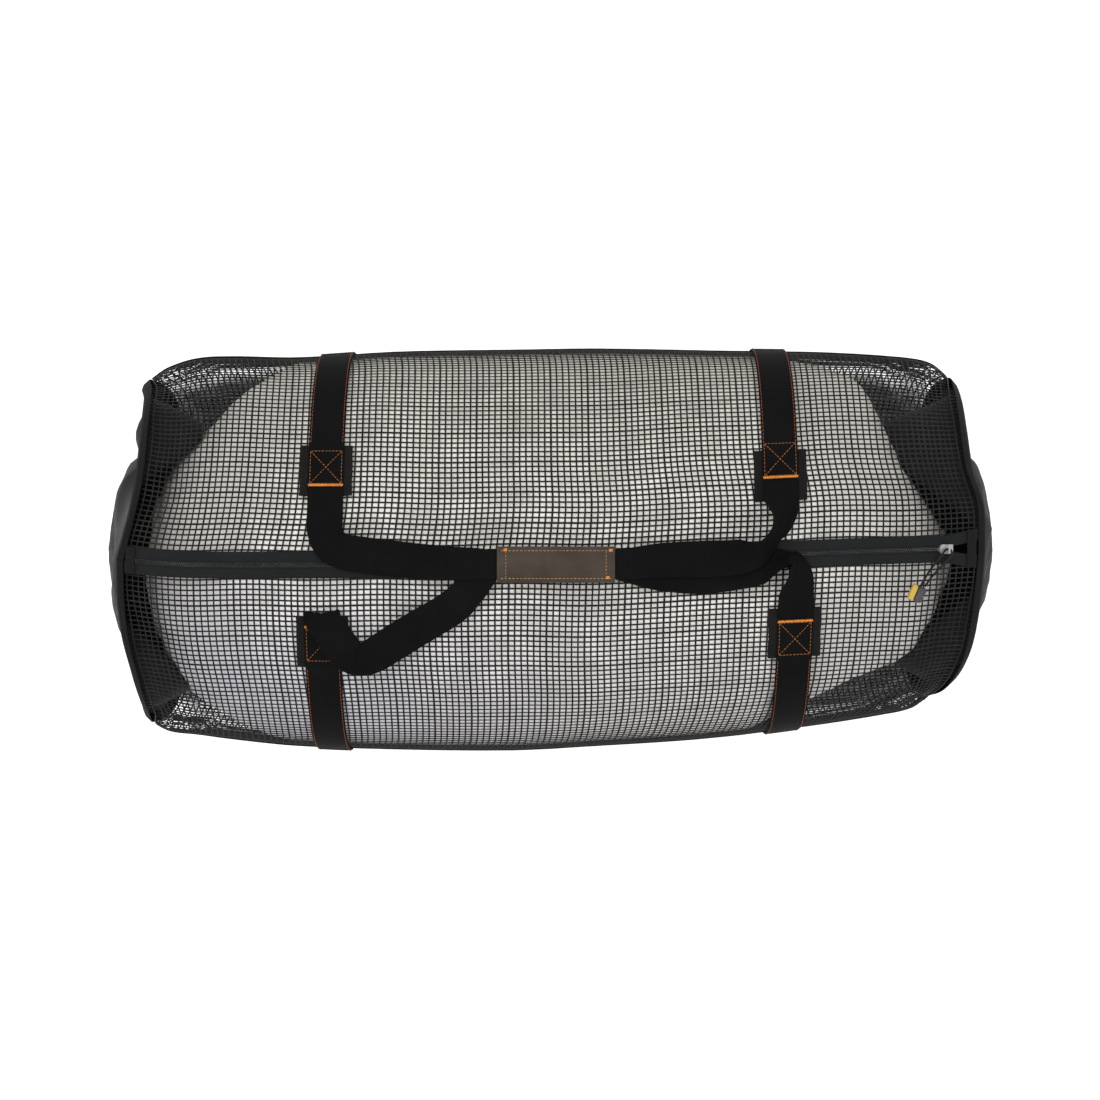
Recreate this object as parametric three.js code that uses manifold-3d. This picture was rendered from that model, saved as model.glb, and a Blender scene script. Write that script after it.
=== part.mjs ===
// Mesh dive gear bag, zipped shut over its soft stuffing and lying on a floor.
// Millimetres. +Z is up, +X runs along the bag, +Y is its back, the origin is the middle of its footprint.

import * as THREE from "three";
import Module from "manifold-3d";
import { mergeVertices } from "three/addons/utils/BufferGeometryUtils.js";

// Overall sizes of the filled bag
const BAG_LENGTH = 914;
const BAG_WIDTH = 412;
const BAG_HEIGHT = 272;
const SEAM_HEIGHT = 125;
const FLAT_DEPTH = 16;
const CORNER_LIFT = 8;

// Walls and the gap that neighbouring pieces keep
const GAP = 0.3;
const NET_WALL = 1.6;
const PANEL_WALL = 2;
const BINDING_WALL = 1.2;
const PATCH_WALL = 1;
const WEBBING_WALL = 1.8;
const WRAP_WALL = 1.5;

// Trim and hardware
const SIDE_BINDING_WIDTH = 14;
const END_BINDING_FLAP = 6;
const TAPE_WIDTH = 12;
const TAPE_WALL = 0.9;
const TAPE_OVERLAP = 4;
const COIL_WIDTH = 5;
const COIL_HEIGHT = 2.5;
const COIL_SHOULDER = 0.6;
const COIL_CROWN = 0.5;
const ZIP_MOUTH_LENGTH = 35;
const ZIP_MOUTH_WIDTH = 15;
const TAB_LENGTH = 10;
const TAB_INSET = 2;
const TAB_SHARES = [1, 0.4, 0, -0.4, -1];
const SLIDER_LENGTH = 14;
const SLIDER_WIDTH = 9;
const SLIDER_HEIGHT = 3.4;
const SLIDER_NOSE = 0.25;
const BAIL_WIDTH = 9;
const BAIL_HEIGHT = 6;
const BAIL_THICKNESS = 1.6;
const BAIL_ROOT = 1;
const BAIL_SHOULDER = 0.5;
const BAIL_CROWN = 0.6;
const EYE_LIFT = 0.2;
const CORD_DIAMETER = 2.2;
const TOGGLE_LENGTH = 16;
const TOGGLE_WIDTH = 9;
const TOGGLE_THICKNESS = 6;
const BAND_WIDTH = 6;
const PATCH_SIZE = 52;
const WEBBING_WIDTH = 35;
const WRAP_LENGTH = 113;
const WRAP_WIDTH = 35;
const WRAP_HEIGHT = 9;
const GRIP_LIFT = 20;
const STUFFING_CLEARANCE = 0.5;

const HALF_LENGTH = BAG_LENGTH / 2;
const HALF_WIDTH = BAG_WIDTH / 2;
const BINDING_LIFT = GAP + BINDING_WALL + GAP;
const PATCH_LIFT = GAP + PATCH_WALL + GAP;
const TAPE_LIFT = GAP + TAPE_WALL + GAP;
const FLOOR_LIFT = GAP + WEBBING_WALL;

// Roundness of the cross-section above and below the side seams: 2 is an ellipse, more is squarer
const UPPER_FULLNESS = 2.15;
const LOWER_FULLNESS = 2.7;

// The bag's cross-sections. at: place between the end seams, -1 to 1. back, front and zip: shares of
// half the width. crown: share of the height. seam: share of the side seam's height. lift: share of
// how far the end corners stand off the floor.
const STATIONS = [
  { at: -1.0, back: 0.825, front: 0.835, crown: 0.86, seam: 0.96, lift: 1.0, zip: -0.045 },
  { at: -0.975, back: 0.864, front: 0.879, crown: 0.882, seam: 0.97, lift: 0.75, zip: -0.05 },
  { at: -0.94, back: 0.908, front: 0.908, crown: 0.91, seam: 0.98, lift: 0.5, zip: -0.058 },
  { at: -0.87, back: 0.951, front: 0.922, crown: 0.947, seam: 1.0, lift: 0.2, zip: -0.068 },
  { at: -0.79, back: 0.961, front: 0.942, crown: 0.97, seam: 1.0, lift: 0.0, zip: -0.073 },
  { at: -0.62, back: 0.956, front: 0.976, crown: 0.985, seam: 1.0, lift: 0.0, zip: -0.073 },
  { at: -0.37, back: 0.985, front: 0.995, crown: 0.995, seam: 1.0, lift: 0.0, zip: -0.072 },
  { at: -0.07, back: 0.995, front: 1.0, crown: 1.0, seam: 1.0, lift: 0.0, zip: -0.071 },
  { at: 0.12, back: 1.0, front: 0.981, crown: 1.0, seam: 1.0, lift: 0.0, zip: -0.068 },
  { at: 0.42, back: 0.99, front: 0.942, crown: 0.995, seam: 1.0, lift: 0.0, zip: -0.035 },
  { at: 0.67, back: 0.981, front: 0.883, crown: 0.985, seam: 1.0, lift: 0.0, zip: -0.012 },
  { at: 0.87, back: 0.956, front: 0.82, crown: 0.947, seam: 1.0, lift: 0.2, zip: 0.0 },
  { at: 0.94, back: 0.93, front: 0.79, crown: 0.91, seam: 0.98, lift: 0.5, zip: 0.004 },
  { at: 0.975, back: 0.88, front: 0.745, crown: 0.882, seam: 0.97, lift: 0.75, zip: 0.006 },
  { at: 1.0, back: 0.825, front: 0.7, crown: 0.86, seam: 0.96, lift: 1.0, zip: 0.007 },
];

// How far the end seams reach along the bag. at: share of the way from the zip down each side to the
// middle of the bottom. The other columns are shares of half the length.
const END_SEAMS = [
  { at: 0.0, leftBack: 0.93, leftFront: 0.93, rightBack: 0.934, rightFront: 0.934 },
  { at: 0.09, leftBack: 0.905, leftFront: 0.929, rightBack: 0.932, rightFront: 0.928 },
  { at: 0.17, leftBack: 0.891, leftFront: 0.923, rightBack: 0.91, rightFront: 0.922 },
  { at: 0.27, leftBack: 0.888, leftFront: 0.908, rightBack: 0.904, rightFront: 0.912 },
  { at: 0.38, leftBack: 0.894, leftFront: 0.9, rightBack: 0.906, rightFront: 0.888 },
  { at: 0.47, leftBack: 0.913, leftFront: 0.906, rightBack: 0.91, rightFront: 0.862 },
  { at: 0.62, leftBack: 0.886, leftFront: 0.884, rightBack: 0.89, rightFront: 0.848 },
  { at: 1.0, leftBack: 0.842, leftFront: 0.842, rightBack: 0.85, rightFront: 0.85 },
];

// The stuffing's own sections, as shares of the bag's section at the same place.
const STUFFING_SECTIONS = [
  { at: -0.955, back: 0.34, front: 0.48, top: 0.42, bottom: 0.42 },
  { at: -0.94, back: 0.42, front: 0.58, top: 0.58, bottom: 0.56 },
  { at: -0.913, back: 0.51, front: 0.7, top: 0.72, bottom: 0.7 },
  { at: -0.86, back: 0.62, front: 0.8, top: 0.86, bottom: 0.84 },
  { at: -0.82, back: 0.69, front: 0.85, top: 0.92, bottom: 0.92 },
  { at: -0.77, back: 0.8, front: 0.91, top: 0.97, bottom: 0.97 },
  { at: -0.69, back: 0.92, front: 0.97, top: 1.0, bottom: 1.0 },
  { at: -0.6, back: 1.0, front: 1.0, top: 1.0, bottom: 1.0 },
  { at: 0.0, back: 1.0, front: 1.0, top: 1.0, bottom: 1.0 },
  { at: 0.5, back: 1.0, front: 1.0, top: 1.0, bottom: 1.0 },
  { at: 0.62, back: 0.96, front: 0.9, top: 1.0, bottom: 1.0 },
  { at: 0.69, back: 0.93, front: 0.84, top: 1.0, bottom: 1.0 },
  { at: 0.76, back: 0.86, front: 0.78, top: 0.98, bottom: 0.97 },
  { at: 0.8, back: 0.7, front: 0.75, top: 0.94, bottom: 0.94 },
  { at: 0.84, back: 0.52, front: 0.72, top: 0.88, bottom: 0.88 },
  { at: 0.88, back: 0.34, front: 0.69, top: 0.8, bottom: 0.8 },
  { at: 0.92, back: 0.2, front: 0.56, top: 0.62, bottom: 0.62 },
  { at: 0.94, back: 0.12, front: 0.34, top: 0.42, bottom: 0.42 },
];

// The two girth straps. back and front: place along the bag, as shares of half the length. backPatch
// and frontPatch: from the zip to the near edge of the patch, as shares of the width. backTack and
// frontTack: from that edge to the bar tack where strap turns into handle, as shares of the patch.
const STRAPS = [
  {
    name: "left",
    back: -0.477,
    front: -0.484,
    backPatch: 0.163,
    frontPatch: 0.12,
    backTack: 0.17,
    frontTack: 0.17,
  },
  {
    name: "right",
    back: 0.49,
    front: 0.521,
    backPatch: 0.126,
    frontPatch: 0.126,
    backTack: 0.42,
    frontTack: 0.22,
  },
];

// The wrap's middle, as shares of half the length and half the width.
const WRAP_PLACE = { along: 0.0125, across: -0.0705 };

// Each half of a handle, from its bar tack to the wrap. along: from the strap (0) to the wrap's near
// end (1). across: from the bar tack (0) to the wrap's middle line (1). lift: rise above a webbing
// lying on the net, as a share of the grip's. heading: which way the tape's inner edge points, and
// tilt: how far that edge is turned up, in degrees. width: share of the webbing's.
const HANDLE_ROUTES = {
  backLeft: [
    { along: 0.0, across: 0.0, lift: 0.0, heading: 0, tilt: 0, width: 1.0 },
    { along: 0.0, across: 0.24, lift: 0.0, heading: 0, tilt: 0, width: 1.0 },
    { along: 0.0, across: 0.44, lift: 0.02, heading: 0, tilt: 2, width: 1.0 },
    { along: 0.004, across: 0.58, lift: 0.06, heading: 8, tilt: 6, width: 1.0 },
    { along: 0.035, across: 0.74, lift: 0.1, heading: 45, tilt: 12, width: 1.0 },
    { along: 0.115, across: 0.835, lift: 0.16, heading: 82, tilt: 8, width: 1.0 },
    { along: 0.22, across: 0.875, lift: 0.2, heading: 89, tilt: 4, width: 1.0 },
    { along: 0.42, across: 0.93, lift: 0.25, heading: 90, tilt: 2, width: 1.0 },
    { along: 0.66, across: 0.975, lift: 0.42, heading: 90, tilt: 0, width: 0.95 },
    { along: 0.88, across: 0.99, lift: 0.86, heading: 90, tilt: 0, width: 0.87 },
    { along: 1.0, across: 1.0, lift: 1.0, heading: 90, tilt: 0, width: 0.82 },
  ],
  backRight: [
    { along: 0.0, across: 0.0, lift: 0.0, heading: 180, tilt: 0, width: 1.0 },
    { along: 0.0, across: 0.25, lift: 0.02, heading: 180, tilt: 10, width: 1.0 },
    { along: 0.01, across: 0.43, lift: 0.05, heading: 178, tilt: 42, width: 1.0 },
    { along: 0.04, across: 0.62, lift: 0.3, heading: 164, tilt: 66, width: 1.0 },
    { along: 0.12, across: 0.83, lift: 0.5, heading: 128, tilt: 52, width: 1.0 },
    { along: 0.27, across: 0.91, lift: 0.52, heading: 98, tilt: 14, width: 1.0 },
    { along: 0.5, across: 0.935, lift: 0.48, heading: 90, tilt: 2, width: 1.0 },
    { along: 0.72, across: 0.95, lift: 0.62, heading: 90, tilt: 0, width: 0.95 },
    { along: 0.9, across: 0.985, lift: 0.92, heading: 90, tilt: 0, width: 0.87 },
    { along: 1.0, across: 1.0, lift: 1.0, heading: 90, tilt: 0, width: 0.82 },
  ],
  frontLeft: [
    { along: 0.0, across: 0.0, lift: 0.0, heading: 180, tilt: 0, width: 1.0 },
    { along: 0.0, across: 0.17, lift: 0.24, heading: 180, tilt: 0, width: 1.0 },
    { along: 0.015, across: 0.06, lift: 0.44, heading: 187, tilt: 0, width: 1.0 },
    { along: 0.06, across: -0.14, lift: 0.42, heading: 206, tilt: 6, width: 1.0 },
    { along: 0.125, across: -0.36, lift: 0.34, heading: 224, tilt: 30, width: 1.0 },
    { along: 0.19, across: -0.5, lift: 0.26, heading: 252, tilt: 56, width: 1.0 },
    { along: 0.275, across: -0.49, lift: 0.18, heading: 286, tilt: 42, width: 1.0 },
    { along: 0.39, across: -0.33, lift: 0.13, heading: 306, tilt: 14, width: 1.0 },
    { along: 0.53, across: -0.09, lift: 0.13, heading: 309, tilt: 4, width: 1.0 },
    { along: 0.755, across: 0.31, lift: 0.32, heading: 307, tilt: 0, width: 0.97 },
    { along: 0.86, across: 0.63, lift: 0.6, heading: 300, tilt: 0, width: 0.9 },
    { along: 0.96, across: 0.97, lift: 0.97, heading: 274, tilt: 0, width: 0.8 },
    { along: 1.0, across: 1.0, lift: 1.0, heading: 270, tilt: 0, width: 0.8 },
  ],
  frontRight: [
    { along: 0.0, across: 0.0, lift: 0.0, heading: 180, tilt: 0, width: 1.0 },
    { along: 0.0, across: 0.4, lift: 0.02, heading: 180, tilt: 8, width: 1.0 },
    { along: -0.005, across: 0.82, lift: 0.08, heading: 184, tilt: 40, width: 1.0 },
    { along: 0.03, across: 1.12, lift: 0.16, heading: 212, tilt: 66, width: 1.0 },
    { along: 0.1, across: 1.08, lift: 0.16, heading: 246, tilt: 44, width: 1.0 },
    { along: 0.2, across: 0.96, lift: 0.16, heading: 262, tilt: 12, width: 1.0 },
    { along: 0.34, across: 0.86, lift: 0.18, heading: 268, tilt: 2, width: 1.0 },
    { along: 0.53, across: 0.79, lift: 0.2, heading: 270, tilt: 0, width: 1.0 },
    { along: 0.76, across: 0.84, lift: 0.44, heading: 270, tilt: 0, width: 0.95 },
    { along: 0.92, across: 0.95, lift: 0.9, heading: 270, tilt: 0, width: 0.87 },
    { along: 1.0, across: 1.0, lift: 1.0, heading: 270, tilt: 0, width: 0.8 },
  ],
};

// The pull cord's route, chosen by hand: from the toggle, through the slider's bail and back. Each
// point is measured from the slider's middle, x and y along the net and lift above the net.
const CORD_ROUTE = [
  { x: -24.4, y: -34.5, lift: 5.0 },
  { x: -20.4, y: -28.5, lift: 3.2 },
  { x: -15.9, y: -22.0, lift: 2.0 },
  { x: -11.4, y: -15.5, lift: 2.6 },
  { x: -7.8, y: -9.5, lift: 5.2 },
  { x: -4.7, y: -4.2, lift: 7.6 },
  { x: -2.6, y: -0.8, lift: 8.2 },
  { x: 0.0, y: 0.0, lift: 8.2 },
  { x: 2.6, y: -0.8, lift: 8.2 },
  { x: 4.1, y: -4.4, lift: 7.6 },
  { x: 1.2, y: -10.0, lift: 5.2 },
  { x: -3.3, y: -16.0, lift: 2.8 },
  { x: -9.3, y: -22.6, lift: 2.0 },
  { x: -15.8, y: -29.6, lift: 3.2 },
  { x: -20.6, y: -35.7, lift: 5.0 },
];
const TOGGLE_FROM_SLIDER = { x: -25.6, y: -43.6, lift: 5.0 };
const TOGGLE_HEADING = 248;

// The toggle's sections. at: share of its length from its middle. size: share of its full section.
const TOGGLE_SECTIONS = [
  { at: -0.5, size: 0.7 },
  { at: -0.4, size: 1 },
  { at: 0.4, size: 1 },
  { at: 0.5, size: 0.7 },
];

// Fineness of the facets
const SECTION_SAMPLES = 96;
const NET_STATIONS = 23;
const NET_COLUMNS = 9;
const BOTTOM_COLUMNS = 13;
const END_RINGS = [0, 0.3, 0.58, 0.8, 0.93, 0.985];
const ROUTE_STEPS = 4;
const CORD_SIDES = 8;
const CORD_STEP = 1.6;
const PATCH_CELLS = 4;
const TAB_CELLS = 2;
const BINDING_COLUMNS = 2;

const lerp = THREE.MathUtils.lerp;
const clamp = THREE.MathUtils.clamp;
const radians = THREE.MathUtils.degToRad;

// A table's column at a place, on a smooth curve through its rows.
function smooth(rows, column, at) {
  const last = rows.length - 1;
  const place = clamp(at, rows[0].at, rows[last].at);
  let k = 0;
  while (k < last - 1 && place > rows[k + 1].at) {
    k += 1;
  }
  const slope = (i) => {
    const a = rows[Math.max(i - 1, 0)];
    const b = rows[Math.min(i + 1, last)];
    return (b[column] - a[column]) / (b.at - a.at);
  };
  const span = rows[k + 1].at - rows[k].at;
  const t = (place - rows[k].at) / span;
  const rise = 3 * t * t - 2 * t * t * t;
  const startPull = t * (1 - t) * (1 - t) * span * slope(k);
  const endPull = t * t * (t - 1) * span * slope(k + 1);
  return lerp(rows[k][column], rows[k + 1][column], rise) + startPull + endPull;
}

const spread = (count, from, to) => Array.from({ length: count + 1 }, (_, i) => lerp(from, to, i / count));

// One side of the bag's cross-section, from the zip over the side seam to the middle of the bottom,
// with the length run so far at each point.
const sectionStore = new Map();
function halfSection(station, side) {
  const key = `${station.toFixed(5)} ${side}`;
  if (sectionStore.has(key)) {
    return sectionStore.get(key);
  }
  const zip = smooth(STATIONS, "zip", station) * HALF_WIDTH;
  const half = smooth(STATIONS, side > 0 ? "back" : "front", station) * HALF_WIDTH;
  const reach = half - side * zip;
  const crown = smooth(STATIONS, "crown", station) * BAG_HEIGHT;
  const seam = smooth(STATIONS, "seam", station) * SEAM_HEIGHT;
  const floor = FLOOR_LIFT + smooth(STATIONS, "lift", station) * CORNER_LIFT;
  const points = [];
  let run = 0;
  for (let i = 0; i <= SECTION_SAMPLES; i += 1) {
    const angle = (Math.PI * i) / SECTION_SAMPLES;
    const power = 2 / (i <= SECTION_SAMPLES / 2 ? UPPER_FULLNESS : LOWER_FULLNESS);
    const out = Math.max(Math.sin(angle), 0) ** power;
    const rise = Math.abs(Math.cos(angle)) ** power;
    const upper = seam + (crown - seam) * rise;
    const lower = Math.max(floor, seam - (seam - floor + FLAT_DEPTH) * rise);
    const y = zip + side * reach * out;
    const z = i <= SECTION_SAMPLES / 2 ? upper : lower;
    if (i > 0) {
      const before = points[i - 1];
      run += Math.hypot(y - before.y, z - before.z);
    }
    points.push({ y, z, run });
  }
  const found = { points, length: run, seamShare: points[SECTION_SAMPLES / 2].run / run };
  sectionStore.set(key, found);
  return found;
}

// Girth places run from 0 at the zip, by the back to 1 under the bottom, by the front to 2 at the zip.
function girthSide(girth) {
  const turned = ((girth % 2) + 2) % 2;
  return turned <= 1 ? { side: 1, share: turned } : { side: -1, share: 2 - turned };
}

function endReach(girth) {
  const { side, share } = girthSide(girth);
  const left = smooth(END_SEAMS, side > 0 ? "leftBack" : "leftFront", share);
  const right = smooth(END_SEAMS, side > 0 ? "rightBack" : "rightFront", share);
  return { left: -left * HALF_LENGTH, right: right * HALF_LENGTH };
}

function skinPoint(station, girth) {
  const { side, share } = girthSide(girth);
  const { points, length } = halfSection(clamp(station, -1, 1), side);
  const run = share * length;
  let k = 1;
  while (k < SECTION_SAMPLES && points[k].run < run) {
    k += 1;
  }
  const before = points[k - 1];
  const after = points[k];
  const t = (run - before.run) / (after.run - before.run);
  const { left, right } = endReach(girth);
  const x = lerp(left, right, (station + 1) / 2);
  return new THREE.Vector3(x, lerp(before.y, after.y, t), lerp(before.z, after.z, t));
}

const STATION_STEP = 0.004;
const GIRTH_STEP = 0.006;
function skinNormal(station, girth) {
  const along = skinPoint(station + STATION_STEP, girth).sub(skinPoint(station - STATION_STEP, girth));
  const around = skinPoint(station, girth + GIRTH_STEP).sub(skinPoint(station, girth - GIRTH_STEP));
  return along.cross(around).normalize();
}

// A point a given height above the bag's outer surface.
function onSkin(station, girth, height) {
  return skinPoint(station, girth).addScaledVector(skinNormal(station, girth), height);
}

function stationAt(x, girth) {
  const { left, right } = endReach(girth);
  return (2 * (x - left)) / (right - left) - 1;
}

const girthOf = (side, share) => (side > 0 ? share : 2 - share);

// The girth place at a distance down one side from the zip.
function girthAtDistance(x, side, distance) {
  const { length } = halfSection(clamp(stationAt(x, girthOf(side, 0)), -1, 1), side);
  return girthOf(side, distance / length);
}

// The place on the upper surface straight below a point of the plan.
const HALVINGS = 26;
const PLAN_SHARE = 0.47;
function placeBelow(x, y) {
  const zipY = smooth(STATIONS, "zip", stationAt(x, 0)) * HALF_WIDTH;
  const side = y >= zipY ? 1 : -1;
  let low = 0;
  let high = PLAN_SHARE;
  for (let i = 0; i < HALVINGS; i += 1) {
    const middle = (low + high) / 2;
    const girth = girthOf(side, middle);
    const reached = side * skinPoint(stationAt(x, girth), girth).y;
    if (reached < side * y) {
      low = middle;
    } else {
      high = middle;
    }
  }
  const girth = girthOf(side, (low + high) / 2);
  return { station: stationAt(x, girth), girth };
}

function abovePlan(x, y, height) {
  const { station, girth } = placeBelow(x, y);
  return onSkin(station, girth, height);
}

// A closed body from polygons with as many corners each, in order. Each polygon is a thin outline,
// there along one face and back along the other, so an end is closed by joining opposite corners.
function sweep(polygons, loop = false) {
  const corners = polygons[0].length;
  const positions = polygons.flat().flatMap((point) => [point.x, point.y, point.z]);
  const index = [];
  const quad = (a, b, c, d) => index.push(a, b, c, a, c, d);
  const steps = loop ? polygons.length : polygons.length - 1;
  for (let i = 0; i < steps; i += 1) {
    const here = i * corners;
    const next = ((i + 1) % polygons.length) * corners;
    for (let j = 0; j < corners; j += 1) {
      const k = (j + 1) % corners;
      quad(here + j, here + k, next + k, next + j);
    }
  }
  if (!loop) {
    const end = (polygons.length - 1) * corners;
    let j = 0;
    let k = corners - 1;
    while (k - j > 2) {
      quad(j, k, k - 1, j + 1);
      quad(end + j, end + j + 1, end + k - 1, end + k);
      j += 1;
      k -= 1;
    }
    if (k - j === 2) {
      index.push(j, k, j + 1, end + j, end + j + 1, end + k);
    }
  }
  return closedGeometry(positions, index);
}

const WELD = 1e-4;
function closedGeometry(positions, index) {
  const raw = new THREE.BufferGeometry();
  raw.setAttribute("position", new THREE.Float32BufferAttribute(positions, 3));
  raw.setIndex(index);
  const geometry = mergeVertices(raw, WELD);
  const at = geometry.index.array;
  const kept = [];
  for (let i = 0; i < at.length; i += 3) {
    const [a, b, c] = [at[i], at[i + 1], at[i + 2]];
    if (a !== b && b !== c && c !== a) {
      kept.push(a, b, c);
    }
  }
  if (signedVolume(geometry.attributes.position, kept) < 0) {
    kept.reverse();
  }
  geometry.setIndex(kept);
  geometry.computeVertexNormals();
  return geometry;
}

function signedVolume(position, index) {
  const [a, b, c] = [new THREE.Vector3(), new THREE.Vector3(), new THREE.Vector3()];
  let six = 0;
  for (let i = 0; i < index.length; i += 3) {
    a.fromBufferAttribute(position, index[i]);
    b.fromBufferAttribute(position, index[i + 1]);
    c.fromBufferAttribute(position, index[i + 2]);
    six += a.dot(b.cross(c));
  }
  return six;
}

// Materials
function fabric(color, roughness = 0.85) {
  return new THREE.MeshStandardMaterial({ color, roughness, metalness: 0 });
}
const netBlack = fabric(0x2b2b2a, 0.7);
const coatedCharcoal = fabric(0x3b3b3e, 0.55);
const bindingBlack = fabric(0x1d1d1d);
const tapeBlack = fabric(0x232527);
const webbingBlack = fabric(0x181816);
const patchBlack = fabric(0x232221);
const wrapBrown = fabric(0x4b413b);
const stuffingWhite = fabric(0xd8d6d0, 0.95);
const cordBlack = fabric(0x141414);
const toggleGrey = fabric(0x3a3b3d, 0.5);
const bandYellow = fabric(0xd9a520, 0.5);
const sliderMetal = new THREE.MeshStandardMaterial({ color: 0x2a2a2c, roughness: 0.4, metalness: 0.6 });

const bag = new THREE.Group();
function addPiece(name, geometry, material) {
  const mesh = new THREE.Mesh(geometry, material);
  mesh.name = name;
  bag.add(mesh);
}

// Stations of a lengthwise piece, closer together near the ends where the shape turns
const END_CROWDING = 0.35;
function lengthStations(from, to, count) {
  const crowd = (t) => t - (END_CROWDING * Math.sin(2 * Math.PI * t)) / (2 * Math.PI);
  return spread(count, 0, 1).map((t) => lerp(from, to, crowd(t)));
}

// A sheet on the bag: for each station the girth places of its two edges, between two heights.
function sheetOnSkin(stations, columns, edges, low, high) {
  const polygons = stations.map((station) => {
    const [from, to] = edges(station);
    const places = spread(columns, from, to);
    const outer = places.map((girth) => onSkin(station, girth, high));
    const inner = places.map((girth) => onSkin(station, girth, low));
    return [...outer, ...inner.reverse()];
  });
  return sweep(polygons);
}

const END_MARGIN = 2.5;
const netEnd = 1 - END_MARGIN / HALF_LENGTH;
const SEAM_REACH = 0.9;
const FLAP_MARGIN = 0.002;
const flapEnd = 1 - (END_BINDING_FLAP + GAP) / (HALF_LENGTH * SEAM_REACH) - FLAP_MARGIN;
const seamGirth = (station, side) => girthOf(side, halfSection(clamp(station, -1, 1), side).seamShare);
const girthPerMillimetre = (station, side) => 1 / halfSection(clamp(station, -1, 1), side).length;

// Lengthwise pieces share the net's stations, so that what lies on the net follows its facets
const netStations = lengthStations(-netEnd, netEnd, NET_STATIONS);
const STATION_MARGIN = 0.003;
function stationsBetween(from, to) {
  const inside = netStations.filter((at) => at > from + STATION_MARGIN && at < to - STATION_MARGIN);
  return [from, ...inside, to];
}

// Net panels
const netEdge = TAPE_WIDTH - TAPE_OVERLAP + 1;
function topPanelEdges(side) {
  return (station) => {
    const millimetre = girthPerMillimetre(station, side);
    const nearZip = girthOf(side, netEdge * millimetre);
    const nearSeam = seamGirth(station, side) - side * GAP * millimetre;
    return [nearZip, nearSeam];
  };
}

const bottomPanelEdges = (station) => [
  seamGirth(station, 1) + GAP * girthPerMillimetre(station, 1),
  seamGirth(station, -1) - GAP * girthPerMillimetre(station, -1),
];

const NET_PANELS = [
  { name: "mesh_top_back", columns: NET_COLUMNS, edges: topPanelEdges(1) },
  { name: "mesh_bottom", columns: BOTTOM_COLUMNS, edges: bottomPanelEdges },
  { name: "mesh_top_front", columns: NET_COLUMNS, edges: topPanelEdges(-1) },
];

function makeNetPanels() {
  for (const { name, columns, edges } of NET_PANELS) {
    addPiece(name, sheetOnSkin(netStations, columns, edges, -NET_WALL, 0), netBlack);
  }
}

// The girth places of the net's columns at a station, once where two panels meet.
const SEAM_MARGIN = 0.004;
function netGirths(station) {
  const places = NET_PANELS.flatMap(({ columns, edges }) => spread(columns, ...edges(station)));
  places.sort((a, b) => a - b);
  return places.filter((place, i) => i === 0 || place - places[i - 1] > SEAM_MARGIN);
}

// Side bindings, flat strips over the two long seams
function makeSideBindings() {
  const stations = stationsBetween(-flapEnd, flapEnd);
  for (const [name, side] of [["side_binding_back", 1], ["side_binding_front", -1]]) {
    const edges = (station) => {
      const half = (SIDE_BINDING_WIDTH / 2) * girthPerMillimetre(station, side);
      return [seamGirth(station, side) - half, seamGirth(station, side) + half];
    };
    addPiece(name, sheetOnSkin(stations, BINDING_COLUMNS, edges, GAP, GAP + BINDING_WALL), bindingBlack);
  }
}

// End panels: domed discs that reach furthest out near their middle
const DOME_POWER = 1.6;
const END_MIDDLES = {
  left: { sign: -1, across: -0.04, up: 0.43 },
  right: { sign: 1, across: 0.03, up: 0.43 },
};

function domePoint(end, ring, girth) {
  const rim = skinPoint(end.sign, girth);
  const tip = new THREE.Vector3(end.sign * HALF_LENGTH, end.across * HALF_WIDTH, end.up * BAG_HEIGHT);
  const flat = new THREE.Vector3().lerpVectors(tip, rim, ring);
  flat.x = lerp(tip.x, rim.x, ring ** DOME_POWER);
  return flat;
}

const RING_STEP = 0.01;
function domeNormal(end, ring, girth) {
  const outward = new THREE.Vector3(end.sign, 0, 0);
  if (ring < RING_STEP) {
    return outward;
  }
  const across = domePoint(end, ring + RING_STEP, girth).sub(domePoint(end, ring - RING_STEP, girth));
  const around = domePoint(end, ring, girth + GIRTH_STEP).sub(domePoint(end, ring, girth - GIRTH_STEP));
  const normal = across.cross(around).normalize();
  return normal.dot(outward) < 0 ? normal.negate() : normal;
}

const onDome = (end, ring, girth, height) =>
  domePoint(end, ring, girth).addScaledVector(domeNormal(end, ring, girth), height);

function makeEndPanel(name, end) {
  const profiles = netGirths(end.sign).map((girth) => {
    const outer = END_RINGS.map((ring) => onDome(end, ring, girth, 0));
    const inner = END_RINGS.map((ring) => onDome(end, ring, girth, -PANEL_WALL));
    return [...outer, ...inner.reverse()];
  });
  addPiece(`end_panel_${name}`, sweep(profiles, true), coatedCharcoal);
}

// End bindings fold over each end seam, a flap on the net and a flap on the end panel
function makeEndBinding(name, end) {
  const flapStation = end.sign * (1 - END_BINDING_FLAP / (HALF_LENGTH * SEAM_REACH));
  const polygons = netGirths(end.sign).map((girth) => {
    const rim = skinPoint(end.sign, girth);
    const tip = domePoint(end, 0, girth);
    const flapRing = 1 - END_BINDING_FLAP / rim.distanceTo(tip);
    const netNormal = skinNormal(end.sign, girth);
    const panelNormal = domeNormal(end, 1, girth);
    const corner = netNormal.clone().add(panelNormal).divideScalar(1 + netNormal.dot(panelNormal));
    return [
      onSkin(flapStation, girth, GAP + BINDING_WALL),
      rim.clone().addScaledVector(corner, GAP + BINDING_WALL),
      onDome(end, flapRing, girth, GAP + BINDING_WALL),
      onDome(end, flapRing, girth, GAP),
      rim.clone().addScaledVector(corner, GAP),
      onSkin(flapStation, girth, GAP),
    ];
  });
  addPiece(`end_binding_${name}`, sweep(polygons, true), bindingBlack);
}

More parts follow.
